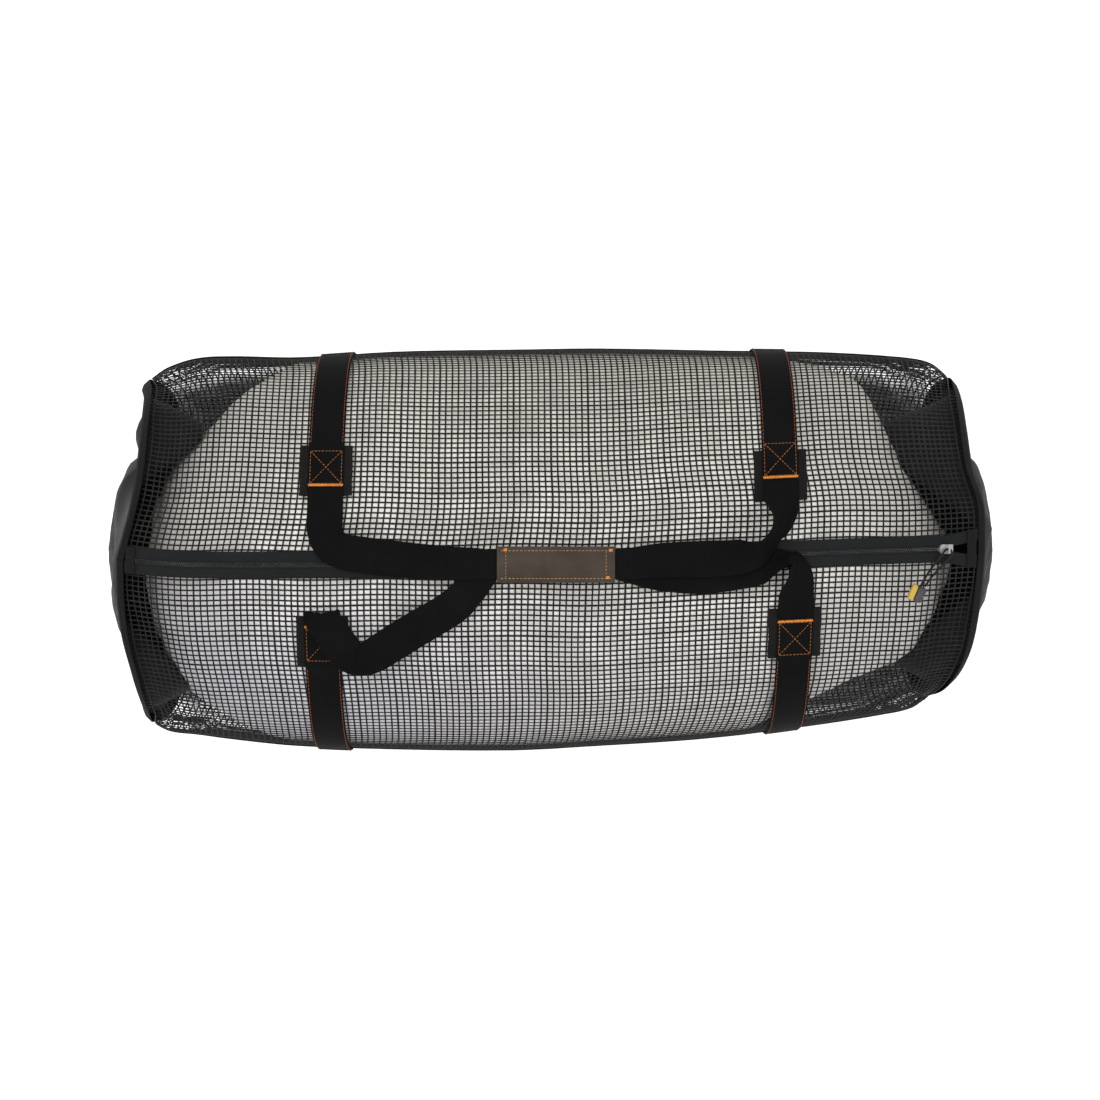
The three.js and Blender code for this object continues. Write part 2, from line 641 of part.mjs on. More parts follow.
// The zip: two tapes, the closed coil, the slider and a tab over each end
const zipStart = skinPoint(-flapEnd, 0).x;
const zipFinish = skinPoint(flapEnd, 0).x;
const sliderPlace = zipFinish - ZIP_MOUTH_LENGTH;

// Half the space between the tapes: nothing along the coil, a wedge past the slider.
function mouthHalf(x) {
  const open = clamp((x - sliderPlace) / ZIP_MOUTH_LENGTH, 0, 1);
  return 1 + (ZIP_MOUTH_WIDTH / 2 - 1) * open;
}

function makeZip() {
  const stations = stationsBetween(-flapEnd, flapEnd);
  for (const [name, side] of [["zip_tape_back", 1], ["zip_tape_front", -1]]) {
    const edges = (station) => {
      const millimetre = girthPerMillimetre(station, side);
      const near = mouthHalf(skinPoint(station, 0).x);
      return [girthOf(side, near * millimetre), girthOf(side, (near + TAPE_WIDTH) * millimetre)];
    };
    addPiece(name, sheetOnSkin(stations, 1, edges, GAP, GAP + TAPE_WALL), tapeBlack);
  }
  makeCoil();
  makeTab("zip_tab_left", zipStart + TAB_INSET, zipStart + TAB_INSET + TAB_LENGTH);
  makeTab("zip_tab_right", zipFinish - TAB_INSET - TAB_LENGTH, zipFinish - TAB_INSET);
}

function makeCoil() {
  const from = zipStart + TAB_INSET + TAB_LENGTH + GAP;
  const to = sliderPlace - SLIDER_LENGTH / 2 - GAP;
  const polygons = stationsBetween(stationAt(from, 0), stationAt(to, 0)).map((station) => {
    const middle = onSkin(station, 0, TAPE_LIFT);
    const half = COIL_WIDTH / 2;
    const at = (y, z) => new THREE.Vector3(middle.x, middle.y + y, middle.z + z);
    return [
      at(-half, 0),
      at(-half, COIL_HEIGHT * COIL_SHOULDER),
      at(-half * COIL_CROWN, COIL_HEIGHT),
      at(half * COIL_CROWN, COIL_HEIGHT),
      at(half, COIL_HEIGHT * COIL_SHOULDER),
      at(half, 0),
    ];
  });
  addPiece("zip_coil", sweep(polygons), tapeBlack);
}

function makeTab(name, from, to) {
  const reach = mouthHalf((from + to) / 2) + TAPE_WIDTH;
  const polygons = spread(TAB_CELLS, from, to).map((x) => {
    const places = TAB_SHARES.map((share) => {
      const side = share >= 0 ? 1 : -1;
      return girthAtDistance(x, side, Math.abs(share) * reach);
    });
    const outer = places.map((girth) => onSkin(stationAt(x, girth), girth, TAPE_LIFT + BINDING_WALL));
    const inner = places.map((girth) => onSkin(stationAt(x, girth), girth, TAPE_LIFT));
    return [...outer, ...inner.reverse()];
  });
  addPiece(name, sweep(polygons), bindingBlack);
}

// Slider: a plain body with a bail standing on it for the cord
const wasm = await Module();
wasm.setup();

function toManifold(geometry) {
  const plain = geometry.clone();
  plain.deleteAttribute("normal");
  plain.deleteAttribute("uv");
  const merged = mergeVertices(plain, WELD);
  const vertProperties = new Float32Array(merged.attributes.position.array);
  const triVerts = new Uint32Array(merged.index.array);
  return new wasm.Manifold(new wasm.Mesh({ numProp: 3, vertProperties, triVerts }));
}

function fromManifold(solid) {
  const { vertProperties, triVerts } = solid.getMesh();
  const geometry = new THREE.BufferGeometry();
  geometry.setAttribute("position", new THREE.BufferAttribute(vertProperties, 3));
  geometry.setIndex(new THREE.BufferAttribute(triVerts, 1));
  geometry.computeVertexNormals();
  return geometry;
}

function makeSlider() {
  const body = new THREE.Shape();
  const nose = SLIDER_WIDTH * SLIDER_NOSE;
  body.moveTo(-SLIDER_LENGTH / 2, -SLIDER_WIDTH / 2 + nose);
  body.lineTo(-SLIDER_LENGTH / 2 + nose, -SLIDER_WIDTH / 2);
  body.lineTo(SLIDER_LENGTH / 2, -SLIDER_WIDTH / 2);
  body.lineTo(SLIDER_LENGTH / 2, SLIDER_WIDTH / 2);
  body.lineTo(-SLIDER_LENGTH / 2 + nose, SLIDER_WIDTH / 2);
  body.lineTo(-SLIDER_LENGTH / 2, SLIDER_WIDTH / 2 - nose);
  const block = new THREE.ExtrudeGeometry(body, { depth: SLIDER_HEIGHT, bevelEnabled: false });

  const halfBail = BAIL_WIDTH / 2;
  const arch = new THREE.Shape();
  arch.moveTo(-halfBail, -BAIL_ROOT);
  arch.lineTo(halfBail, -BAIL_ROOT);
  arch.lineTo(halfBail, BAIL_HEIGHT - halfBail * BAIL_SHOULDER);
  arch.lineTo(halfBail * BAIL_CROWN, BAIL_HEIGHT);
  arch.lineTo(-halfBail * BAIL_CROWN, BAIL_HEIGHT);
  arch.lineTo(-halfBail, BAIL_HEIGHT - halfBail * BAIL_SHOULDER);
  const eye = new THREE.Path();
  const eyeHalf = halfBail - BAIL_THICKNESS;
  eye.moveTo(-eyeHalf, EYE_LIFT);
  eye.lineTo(-eyeHalf, BAIL_HEIGHT - BAIL_THICKNESS);
  eye.lineTo(eyeHalf, BAIL_HEIGHT - BAIL_THICKNESS);
  eye.lineTo(eyeHalf, EYE_LIFT);
  arch.holes.push(eye);
  const bail = new THREE.ExtrudeGeometry(arch, { depth: BAIL_THICKNESS, bevelEnabled: false });
  bail.rotateX(Math.PI / 2);
  bail.rotateZ(Math.PI / 2);
  bail.translate(-BAIL_THICKNESS / 2, 0, SLIDER_HEIGHT);

  const slider = fromManifold(toManifold(block).add(toManifold(bail)));
  const station = stationAt(sliderPlace, 0);
  const up = skinNormal(station, 0);
  const along = new THREE.Vector3(1, 0, 0).addScaledVector(up, -up.x).normalize();
  const across = new THREE.Vector3().crossVectors(up, along);
  const seat = onSkin(station, 0, TAPE_LIFT + GAP);
  slider.applyMatrix4(new THREE.Matrix4().makeBasis(along, across, up).setPosition(seat));
  addPiece("zip_slider", slider, sliderMetal);
}

// The pull cord's loop, and the toggle with its band on the cord's ends
function makePull() {
  const seatY = skinPoint(stationAt(sliderPlace, 0), 0).y;
  const place = ({ x, y, lift }) => abovePlan(sliderPlace + x, seatY + y, lift);
  const curve = new THREE.CatmullRomCurve3(CORD_ROUTE.map(place), false, "centripetal");
  const ring = new THREE.Shape();
  for (let i = 0; i < CORD_SIDES; i += 1) {
    const angle = (2 * Math.PI * i) / CORD_SIDES;
    const corner = [(CORD_DIAMETER / 2) * Math.cos(angle), (CORD_DIAMETER / 2) * Math.sin(angle)];
    if (i === 0) {
      ring.moveTo(...corner);
    } else {
      ring.lineTo(...corner);
    }
  }
  const steps = Math.round(curve.getLength() / (CORD_STEP * CORD_DIAMETER));
  const cord = new THREE.ExtrudeGeometry(ring, { steps, extrudePath: curve, bevelEnabled: false });
  addPiece("pull_cord", cord, cordBlack);

  const middle = place(TOGGLE_FROM_SLIDER);
  const { station, girth } = placeBelow(middle.x, middle.y);
  const normal = skinNormal(station, girth);
  const heading = new THREE.Vector3(Math.cos(radians(TOGGLE_HEADING)), Math.sin(radians(TOGGLE_HEADING)), 0);
  const forward = heading.addScaledVector(normal, -heading.dot(normal)).normalize();
  const sideways = new THREE.Vector3().crossVectors(normal, forward);
  const block = (name, offset, width, material) => {
    const half = width / 2;
    const thick = TOGGLE_THICKNESS / 2;
    const polygons = TOGGLE_SECTIONS.map(({ at: share, size: pinch }) => {
      const origin = middle.clone().addScaledVector(forward, share * TOGGLE_LENGTH);
      const at = (across, up) =>
        origin
          .clone()
          .addScaledVector(sideways, offset + across * half * pinch)
          .addScaledVector(normal, up * thick * pinch);
      const upper = [at(-1, -0.5), at(-1, 0.5), at(-0.5, 1), at(0.5, 1)];
      const lower = [at(1, 0.5), at(1, -0.5), at(0.5, -1), at(-0.5, -1)];
      return [...upper, ...lower];
    });
    addPiece(name, sweep(polygons), material);
  };
  block("pull_toggle", 0, TOGGLE_WIDTH, toggleGrey);
  block("toggle_band", -(TOGGLE_WIDTH + BAND_WIDTH) / 2 - GAP, BAND_WIDTH, bandYellow);
}

// Patches and girth straps
const sideKey = (side) => (side > 0 ? "back" : "front");
const strapX = (strap, side) => strap[sideKey(side)] * HALF_LENGTH;
const patchEdge = (strap, side) => strap[`${sideKey(side)}Patch`] * BAG_WIDTH;
const tackDistance = (strap, side) => patchEdge(strap, side) + strap[`${sideKey(side)}Tack`] * PATCH_SIZE;

function makePatch(strap, side) {
  const middle = strapX(strap, side);
  const near = patchEdge(strap, side);
  const polygons = spread(PATCH_CELLS, middle - PATCH_SIZE / 2, middle + PATCH_SIZE / 2).map((x) => {
    const distances = spread(PATCH_CELLS, near, near + PATCH_SIZE);
    const places = distances.map((distance) => girthAtDistance(x, side, distance));
    const outer = places.map((girth) => onSkin(stationAt(x, girth), girth, GAP + PATCH_WALL));
    const inner = places.map((girth) => onSkin(stationAt(x, girth), girth, GAP));
    return [...outer, ...inner.reverse()];
  });
  addPiece(`patch_${sideKey(side)}_${strap.name}`, sweep(polygons), patchBlack);
}

// The strap's height over the net: it steps up over the patches and the side bindings.
const STEP_RUN = 7;
const STEP_MARGIN = 0.5;
const patchRise = (distance, strap, side) => {
  const past = distance - (patchEdge(strap, side) + PATCH_SIZE + STEP_MARGIN);
  return (PATCH_LIFT - GAP) * (1 - THREE.MathUtils.smoothstep(past, 0, STEP_RUN));
};
const bindingRise = (distance, seamDistance) => {
  const past = Math.abs(distance - seamDistance) - (SIDE_BINDING_WIDTH / 2 + STEP_MARGIN);
  return (BINDING_LIFT - GAP) * (1 - THREE.MathUtils.smoothstep(past, 0, STEP_RUN));
};

function strapHeight(strap, x, girth) {
  const { side, share } = girthSide(girth);
  const section = halfSection(clamp(stationAt(x, girth), -1, 1), side);
  const distance = share * section.length;
  const seamDistance = section.seamShare * section.length;
  return GAP + patchRise(distance, strap, side) + bindingRise(distance, seamDistance);
}

// Places round the strap: the net's own columns and more between them, so that it follows the net
function strapGirths(strap) {
  const start = girthAtDistance(strapX(strap, 1), 1, tackDistance(strap, 1) + GAP);
  const finish = girthAtDistance(strapX(strap, -1), -1, tackDistance(strap, -1) + GAP);
  const middle = (strapX(strap, 1) + strapX(strap, -1)) / 2;
  const net = netGirths(stationAt(middle, 0)).filter((girth) => girth > start && girth < finish);
  const steps = [1, -1].flatMap((side) => stepGirths(strap, side));
  const coarse = [start, ...net, finish];
  const halves = coarse.slice(1).map((girth, i) => (girth + coarse[i]) / 2);
  return [...coarse, ...halves, ...steps].sort((a, b) => a - b);
}

// Where the strap starts and ends each of its steps over the patch and the side binding
function stepGirths(strap, side) {
  const { length, seamShare } = halfSection(stationAt(strapX(strap, side), girthOf(side, 0.5)), side);
  const patchEnd = patchEdge(strap, side) + PATCH_SIZE;
  const seam = seamShare * length;
  const half = SIDE_BINDING_WIDTH / 2;
  const distances = [patchEnd, seam - half, seam - half - STEP_RUN, seam + half, seam + half + STEP_RUN];
  return [...distances, patchEnd + STEP_RUN].map((distance) => girthOf(side, distance / length));
}

// Between these shares of the girth the strap moves over from its place at the back to that in front.
const STRAP_DRIFT = [0.2, 0.8];
function makeStrap(strap) {
  const polygons = strapGirths(strap).map((girth) => {
    const turn = clamp(girth / 2, 0, 1);
    const drift = THREE.MathUtils.smoothstep(turn, ...STRAP_DRIFT);
    const middle = lerp(strapX(strap, 1), strapX(strap, -1), drift);
    const at = (x, extra) => onSkin(stationAt(x, girth), girth, strapHeight(strap, x, girth) + extra);
    const [left, right] = [middle - WEBBING_WIDTH / 2, middle + WEBBING_WIDTH / 2];
    return [at(left, 0), at(left, WEBBING_WALL), at(right, WEBBING_WALL), at(right, 0)];
  });
  addPiece(`strap_${strap.name}`, sweep(polygons), webbingBlack);
}

// Handles and the wrap that holds them together
const wrapMiddle = { x: WRAP_PLACE.along * HALF_LENGTH, y: WRAP_PLACE.across * HALF_WIDTH };
const wrapTop = onSkin(stationAt(wrapMiddle.x, 0), 0, GRIP_LIFT).z;
const handleBase = PATCH_LIFT + WEBBING_WALL / 2;
const HANDLE_START = 1;
const WRAP_ROWS = [-0.36, 0, 0.36];
const stackStep = (WEBBING_WALL + 3 * GAP) / 2;

function routePoints(rows, strap, side, wrapEnd) {
  const startX = strapX(strap, side);
  const start = skinPoint(
    stationAt(startX, 0),
    girthAtDistance(startX, side, tackDistance(strap, side) - HANDLE_START),
  );
  return rows.map((row) => {
    const x = lerp(startX, wrapEnd, row.along);
    const y = lerp(start.y, wrapMiddle.y, row.across);
    const width = row.width * WEBBING_WIDTH;
    const edgeUp = (width / 2) * Math.abs(Math.sin(radians(row.tilt)));
    const laid = abovePlan(x, y, handleBase + edgeUp);
    const gripRise = wrapTop + side * stackStep - abovePlan(x, wrapMiddle.y, handleBase).z;
    laid.z += row.lift * gripRise;
    return { point: laid, heading: row.heading, tilt: row.tilt, width };
  });
}

function makeHandle(name, side, leftRows, rightRows) {
  const [leftStrap, rightStrap] = STRAPS;
  const leftEnd = wrapMiddle.x - WRAP_LENGTH / 2;
  const rightEnd = wrapMiddle.x + WRAP_LENGTH / 2;
  const leftPoints = routePoints(leftRows, leftStrap, side, leftEnd);
  const inWrap = WRAP_ROWS.map((share) => {
    const z = wrapTop + side * stackStep;
    const point = new THREE.Vector3(wrapMiddle.x + share * WRAP_LENGTH, wrapMiddle.y, z);
    return { ...leftPoints[leftPoints.length - 1], point, heading: side > 0 ? 90 : 270 };
  });
  const rightPoints = routePoints(rightRows, rightStrap, side, rightEnd).reverse();
  const rows = [...leftPoints, ...inWrap, ...rightPoints].map((row, at) => ({ ...row, at }));
  const curve = new THREE.CatmullRomCurve3(rows.map((row) => row.point), false, "centripetal");
  const spans = rows.length - 1;
  const polygons = spread(spans * ROUTE_STEPS, 0, spans).map((at) => {
    const middle = curve.getPoint(at / spans);
    const along = curve.getTangent(at / spans);
    const heading = radians(smooth(rows, "heading", at));
    const tilt = radians(smooth(rows, "tilt", at));
    const { station, girth } = placeBelow(middle.x, middle.y);
    const normal = skinNormal(station, girth);
    const level = new THREE.Vector3(Math.cos(heading), Math.sin(heading), 0);
    level.addScaledVector(normal, -level.dot(normal)).normalize();
    const edge = level.multiplyScalar(Math.cos(tilt)).addScaledVector(normal, Math.sin(tilt));
    edge.addScaledVector(along, -edge.dot(along)).normalize();
    const face = new THREE.Vector3().crossVectors(along, edge).multiplyScalar(WEBBING_WALL / 2);
    edge.multiplyScalar(smooth(rows, "width", at) / 2);
    return [
      middle.clone().add(edge).add(face),
      middle.clone().add(edge).sub(face),
      middle.clone().sub(edge).sub(face),
      middle.clone().sub(edge).add(face),
    ];
  });
  addPiece(name, sweep(polygons), webbingBlack);
}

const WRAP_SIDES = 16;
const UPRIGHT = 1e-6;
function makeWrap() {
  const from = wrapMiddle.x - WRAP_LENGTH / 2;
  const to = wrapMiddle.x + WRAP_LENGTH / 2;
  const outline = (angle, shrink) => {
    const radius = WRAP_HEIGHT / 2 - shrink;
    const straight = WRAP_WIDTH / 2 - WRAP_HEIGHT / 2;
    const shift = Math.abs(Math.cos(angle)) < UPRIGHT ? 0 : Math.sign(Math.cos(angle)) * straight;
    return { y: shift + radius * Math.cos(angle), z: radius * Math.sin(angle) };
  };
  const profiles = Array.from({ length: WRAP_SIDES }, (_, i) => {
    const angle = (2 * Math.PI * (i + 0.5)) / WRAP_SIDES;
    const outer = outline(angle, 0);
    const inner = outline(angle, WRAP_WALL);
    const at = (x, { y, z }) => new THREE.Vector3(x, wrapMiddle.y + y, wrapTop + z);
    return [at(from, outer), at(to, outer), at(to, inner), at(from, inner)];
  });
  addPiece("handle_wrap", sweep(profiles, true), wrapBrown);
}

// The stuffing, a soft pillow that fills the bag short of its end corners
function makeStuffing() {
  const first = STUFFING_SECTIONS[0].at;
  const final = STUFFING_SECTIONS[STUFFING_SECTIONS.length - 1].at;
  const depth = NET_WALL + STUFFING_CLEARANCE;
  const polygons = stationsBetween(first, final).map((station) => {
    const middle = skinPoint(station, 0);
    const seam = smooth(STATIONS, "seam", station) * SEAM_HEIGHT;
    const core = { y: middle.y, z: seam };
    return netGirths(station).map((girth) => {
      const skin = onSkin(station, girth, -depth);
      const across = smooth(STUFFING_SECTIONS, girthSide(girth).side > 0 ? "back" : "front", station);
      const up = smooth(STUFFING_SECTIONS, skin.z > seam ? "top" : "bottom", station);
      return new THREE.Vector3(
        middle.x + (skin.x - middle.x) * across,
        lerp(core.y, skin.y, Math.min(across, 1)),
        lerp(core.z, skin.z, Math.min(up, 1)),
      );
    });
  });
  addPiece("stuffing", sweep(polygons), stuffingWhite);
}

makeNetPanels();
makeSideBindings();
for (const [name, end] of Object.entries(END_MIDDLES)) {
  makeEndPanel(name, end);
  makeEndBinding(name, end);
}
makeZip();
makeSlider();
makePull();
for (const strap of STRAPS) {
  makePatch(strap, 1);
  makePatch(strap, -1);
  makeStrap(strap);
}
makeHandle("handle_back", 1, HANDLE_ROUTES.backLeft, HANDLE_ROUTES.backRight);
makeHandle("handle_front", -1, HANDLE_ROUTES.frontLeft, HANDLE_ROUTES.frontRight);
makeWrap();
makeStuffing();

export default bag;
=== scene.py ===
import math

import bmesh
import bpy
import numpy as np
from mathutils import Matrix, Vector, kdtree


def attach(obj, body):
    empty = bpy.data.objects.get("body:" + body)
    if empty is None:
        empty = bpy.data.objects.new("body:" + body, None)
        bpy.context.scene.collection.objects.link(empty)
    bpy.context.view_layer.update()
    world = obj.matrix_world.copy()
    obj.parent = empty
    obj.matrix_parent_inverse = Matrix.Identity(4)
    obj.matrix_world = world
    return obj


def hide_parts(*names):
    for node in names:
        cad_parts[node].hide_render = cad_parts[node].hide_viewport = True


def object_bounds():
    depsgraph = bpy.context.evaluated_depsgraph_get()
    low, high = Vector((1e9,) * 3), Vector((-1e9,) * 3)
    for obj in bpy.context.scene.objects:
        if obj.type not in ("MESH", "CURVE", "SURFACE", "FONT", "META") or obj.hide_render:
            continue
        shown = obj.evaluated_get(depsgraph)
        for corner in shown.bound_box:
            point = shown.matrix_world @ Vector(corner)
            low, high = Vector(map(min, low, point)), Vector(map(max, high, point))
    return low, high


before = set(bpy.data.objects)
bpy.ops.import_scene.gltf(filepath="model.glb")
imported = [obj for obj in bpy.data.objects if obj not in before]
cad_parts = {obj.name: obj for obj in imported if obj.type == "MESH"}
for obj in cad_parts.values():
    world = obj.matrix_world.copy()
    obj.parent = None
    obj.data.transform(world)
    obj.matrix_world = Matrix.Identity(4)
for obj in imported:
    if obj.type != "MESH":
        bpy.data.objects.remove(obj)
cad_low, cad_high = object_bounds()

# Sizes of the bag, in millimetres, the same as in the frame's source
MM = 0.001
HALF_LENGTH = 457.0
HALF_WIDTH = 206.0
BAG_WIDTH = 412.0
BAG_HEIGHT = 272.0
SEAM_HEIGHT = 125.0
FLAT_DEPTH = 16.0
CORNER_LIFT = 8.0
GAP = 0.3
PANEL_WALL = 2.0
BINDING_WALL = 1.2
PATCH_WALL = 1.0
WEBBING_WALL = 1.8
WRAP_WALL = 1.5
SIDE_BINDING_WIDTH = 14.0
END_BINDING_FLAP = 6.0
TAPE_WIDTH = 12.0
TAPE_WALL = 0.9
ZIP_MOUTH_LENGTH = 35.0
ZIP_MOUTH_WIDTH = 15.0
TAB_LENGTH = 10.0
TAB_INSET = 2.0
SLIDER_LENGTH = 14.0
CORD_DIAMETER = 2.2
TOGGLE_LENGTH = 16.0
TOGGLE_WIDTH = 9.0
TOGGLE_THICKNESS = 6.0
BAND_WIDTH = 6.0
PATCH_SIZE = 52.0
WEBBING_WIDTH = 35.0
WRAP_LENGTH = 113.0
WRAP_WIDTH = 35.0
WRAP_HEIGHT = 9.0
GRIP_LIFT = 20.0
STUFFING_DEPTH = 2.1
BINDING_LIFT = GAP + BINDING_WALL + GAP
GIRTH_LENGTH = 560.0
SIDES = (("back", 1), ("front", -1))
PATCH_LIFT = GAP + PATCH_WALL + GAP
TAPE_LIFT = GAP + TAPE_WALL + GAP
FLOOR_LIFT = GAP + WEBBING_WALL
UPPER_FULLNESS = 2.15
LOWER_FULLNESS = 2.7


def table(columns, rows):
    values = np.array(rows, float)
    return {name: values[:, i] for i, name in enumerate(columns.split())}


# The same tables as in the frame's source
STATIONS = table("at back front crown seam lift zip", [
    (-1.0, 0.825, 0.835, 0.86, 0.96, 1.0, -0.045),
    (-0.975, 0.864, 0.879, 0.882, 0.97, 0.75, -0.05),
    (-0.94, 0.908, 0.908, 0.91, 0.98, 0.5, -0.058),
    (-0.87, 0.951, 0.922, 0.947, 1.0, 0.2, -0.068),
    (-0.79, 0.961, 0.942, 0.97, 1.0, 0.0, -0.073),
    (-0.62, 0.956, 0.976, 0.985, 1.0, 0.0, -0.073),
    (-0.37, 0.985, 0.995, 0.995, 1.0, 0.0, -0.072),
    (-0.07, 0.995, 1.0, 1.0, 1.0, 0.0, -0.071),
    (0.12, 1.0, 0.981, 1.0, 1.0, 0.0, -0.068),
    (0.42, 0.99, 0.942, 0.995, 1.0, 0.0, -0.035),
    (0.67, 0.981, 0.883, 0.985, 1.0, 0.0, -0.012),
    (0.87, 0.956, 0.82, 0.947, 1.0, 0.2, 0.0),
    (0.94, 0.93, 0.79, 0.91, 0.98, 0.5, 0.004),
    (0.975, 0.88, 0.745, 0.882, 0.97, 0.75, 0.006),
    (1.0, 0.825, 0.7, 0.86, 0.96, 1.0, 0.007),
])
END_SEAMS = table("at leftBack leftFront rightBack rightFront", [
    (0.0, 0.93, 0.93, 0.934, 0.934),
    (0.09, 0.905, 0.929, 0.932, 0.928),
    (0.17, 0.891, 0.923, 0.91, 0.922),
    (0.27, 0.888, 0.908, 0.904, 0.912),
    (0.38, 0.894, 0.9, 0.906, 0.888),
    (0.47, 0.913, 0.906, 0.91, 0.862),
    (0.62, 0.886, 0.884, 0.89, 0.848),
    (1.0, 0.842, 0.842, 0.85, 0.85),
])
STUFFING_SECTIONS = table("at back front top bottom", [
    (-0.955, 0.34, 0.48, 0.42, 0.42),
    (-0.94, 0.42, 0.58, 0.58, 0.56),
    (-0.913, 0.51, 0.7, 0.72, 0.7),
    (-0.86, 0.62, 0.8, 0.86, 0.84),
    (-0.82, 0.69, 0.85, 0.92, 0.92),
    (-0.77, 0.8, 0.91, 0.97, 0.97),
    (-0.69, 0.92, 0.97, 1.0, 1.0),
    (-0.6, 1.0, 1.0, 1.0, 1.0),
    (0.0, 1.0, 1.0, 1.0, 1.0),
    (0.5, 1.0, 1.0, 1.0, 1.0),
    (0.62, 0.96, 0.9, 1.0, 1.0),
    (0.69, 0.93, 0.84, 1.0, 1.0),
    (0.76, 0.86, 0.78, 0.98, 0.97),
    (0.8, 0.7, 0.75, 0.94, 0.94),
    (0.84, 0.52, 0.72, 0.88, 0.88),
    (0.88, 0.34, 0.69, 0.8, 0.8),
    (0.92, 0.2, 0.56, 0.62, 0.62),
    (0.94, 0.12, 0.34, 0.42, 0.42),
])
STRAPS = {
    "left": {"back": -0.477, "front": -0.484, "back_patch": 0.163, "front_patch": 0.12,
             "back_tack": 0.17, "front_tack": 0.17},
    "right": {"back": 0.49, "front": 0.521, "back_patch": 0.126, "front_patch": 0.126,
              "back_tack": 0.42, "front_tack": 0.22},
}
ROUTE_COLUMNS = "along across lift heading tilt width"
HANDLE_ROUTES = {
    "back_left": table(ROUTE_COLUMNS, [
        (0.0, 0.0, 0.0, 0, 0, 1.0),
        (0.0, 0.24, 0.0, 0, 0, 1.0),
        (0.0, 0.44, 0.02, 0, 2, 1.0),
        (0.004, 0.58, 0.06, 8, 6, 1.0),
        (0.035, 0.74, 0.1, 45, 12, 1.0),
        (0.115, 0.835, 0.16, 82, 8, 1.0),
        (0.22, 0.875, 0.2, 89, 4, 1.0),
        (0.42, 0.93, 0.25, 90, 2, 1.0),
        (0.66, 0.975, 0.42, 90, 0, 0.95),
        (0.88, 0.99, 0.86, 90, 0, 0.87),
        (1.0, 1.0, 1.0, 90, 0, 0.82),
    ]),
    "back_right": table(ROUTE_COLUMNS, [
        (0.0, 0.0, 0.0, 180, 0, 1.0),
        (0.0, 0.25, 0.02, 180, 10, 1.0),
        (0.01, 0.43, 0.05, 178, 42, 1.0),
        (0.04, 0.62, 0.3, 164, 66, 1.0),
        (0.12, 0.83, 0.5, 128, 52, 1.0),
        (0.27, 0.91, 0.52, 98, 14, 1.0),
        (0.5, 0.935, 0.48, 90, 2, 1.0),
        (0.72, 0.95, 0.62, 90, 0, 0.95),
        (0.9, 0.985, 0.92, 90, 0, 0.87),
        (1.0, 1.0, 1.0, 90, 0, 0.82),
    ]),
    "front_left": table(ROUTE_COLUMNS, [
        (0.0, 0.0, 0.0, 180, 0, 1.0),
        (0.0, 0.17, 0.24, 180, 0, 1.0),
        (0.015, 0.06, 0.44, 187, 0, 1.0),
        (0.06, -0.14, 0.42, 206, 6, 1.0),
        (0.125, -0.36, 0.34, 224, 30, 1.0),
        (0.19, -0.5, 0.26, 252, 56, 1.0),
        (0.275, -0.49, 0.18, 286, 42, 1.0),
        (0.39, -0.33, 0.13, 306, 14, 1.0),
        (0.53, -0.09, 0.13, 309, 4, 1.0),
        (0.755, 0.31, 0.32, 307, 0, 0.97),
        (0.86, 0.63, 0.6, 300, 0, 0.9),
        (0.96, 0.97, 0.97, 274, 0, 0.8),
        (1.0, 1.0, 1.0, 270, 0, 0.8),
    ]),
    "front_right": table(ROUTE_COLUMNS, [
        (0.0, 0.0, 0.0, 180, 0, 1.0),
        (0.0, 0.4, 0.02, 180, 8, 1.0),
        (-0.005, 0.82, 0.08, 184, 40, 1.0),
        (0.03, 1.12, 0.16, 212, 66, 1.0),
        (0.1, 1.08, 0.16, 246, 44, 1.0),
        (0.2, 0.96, 0.16, 262, 12, 1.0),
        (0.34, 0.86, 0.18, 268, 2, 1.0),
        (0.53, 0.79, 0.2, 270, 0, 1.0),
        (0.76, 0.84, 0.44, 270, 0, 0.95),
        (0.92, 0.95, 0.9, 270, 0, 0.87),
        (1.0, 1.0, 1.0, 270, 0, 0.8),
    ]),
}
CORD_ROUTE = [
    (-24.4, -34.5, 5.0), (-20.4, -28.5, 3.2), (-15.9, -22.0, 2.0), (-11.4, -15.5, 2.6), (-7.8, -9.5, 5.2),
    (-4.7, -4.2, 7.6), (-2.6, -0.8, 8.2), (0.0, 0.0, 8.2), (2.6, -0.8, 8.2), (4.1, -4.4, 7.6),
    (1.2, -10.0, 5.2), (-3.3, -16.0, 2.8), (-9.3, -22.6, 2.0), (-15.8, -29.6, 3.2), (-20.6, -35.7, 5.0),
]
TOGGLE_FROM_SLIDER = (-25.6, -43.6, 5.0)
TOGGLE_HEADING = math.radians(248)

SAMPLES = 96
ANGLES = np.pi * np.arange(SAMPLES + 1) / SAMPLES
IS_UPPER = np.arange(SAMPLES + 1) <= SAMPLES // 2
POWERS = 2 / np.where(IS_UPPER, UPPER_FULLNESS, LOWER_FULLNESS)
OUT_SHARE = np.maximum(np.sin(ANGLES), 0) ** POWERS
RISE_SHARE = np.abs(np.cos(ANGLES)) ** POWERS
CHUNK = 20000


def lerp(a, b, t):
    return a + (b - a) * t


def smoothstep(x, low, high):
    t = np.clip((x - low) / (high - low), 0, 1)
    return t * t * (3 - 2 * t)


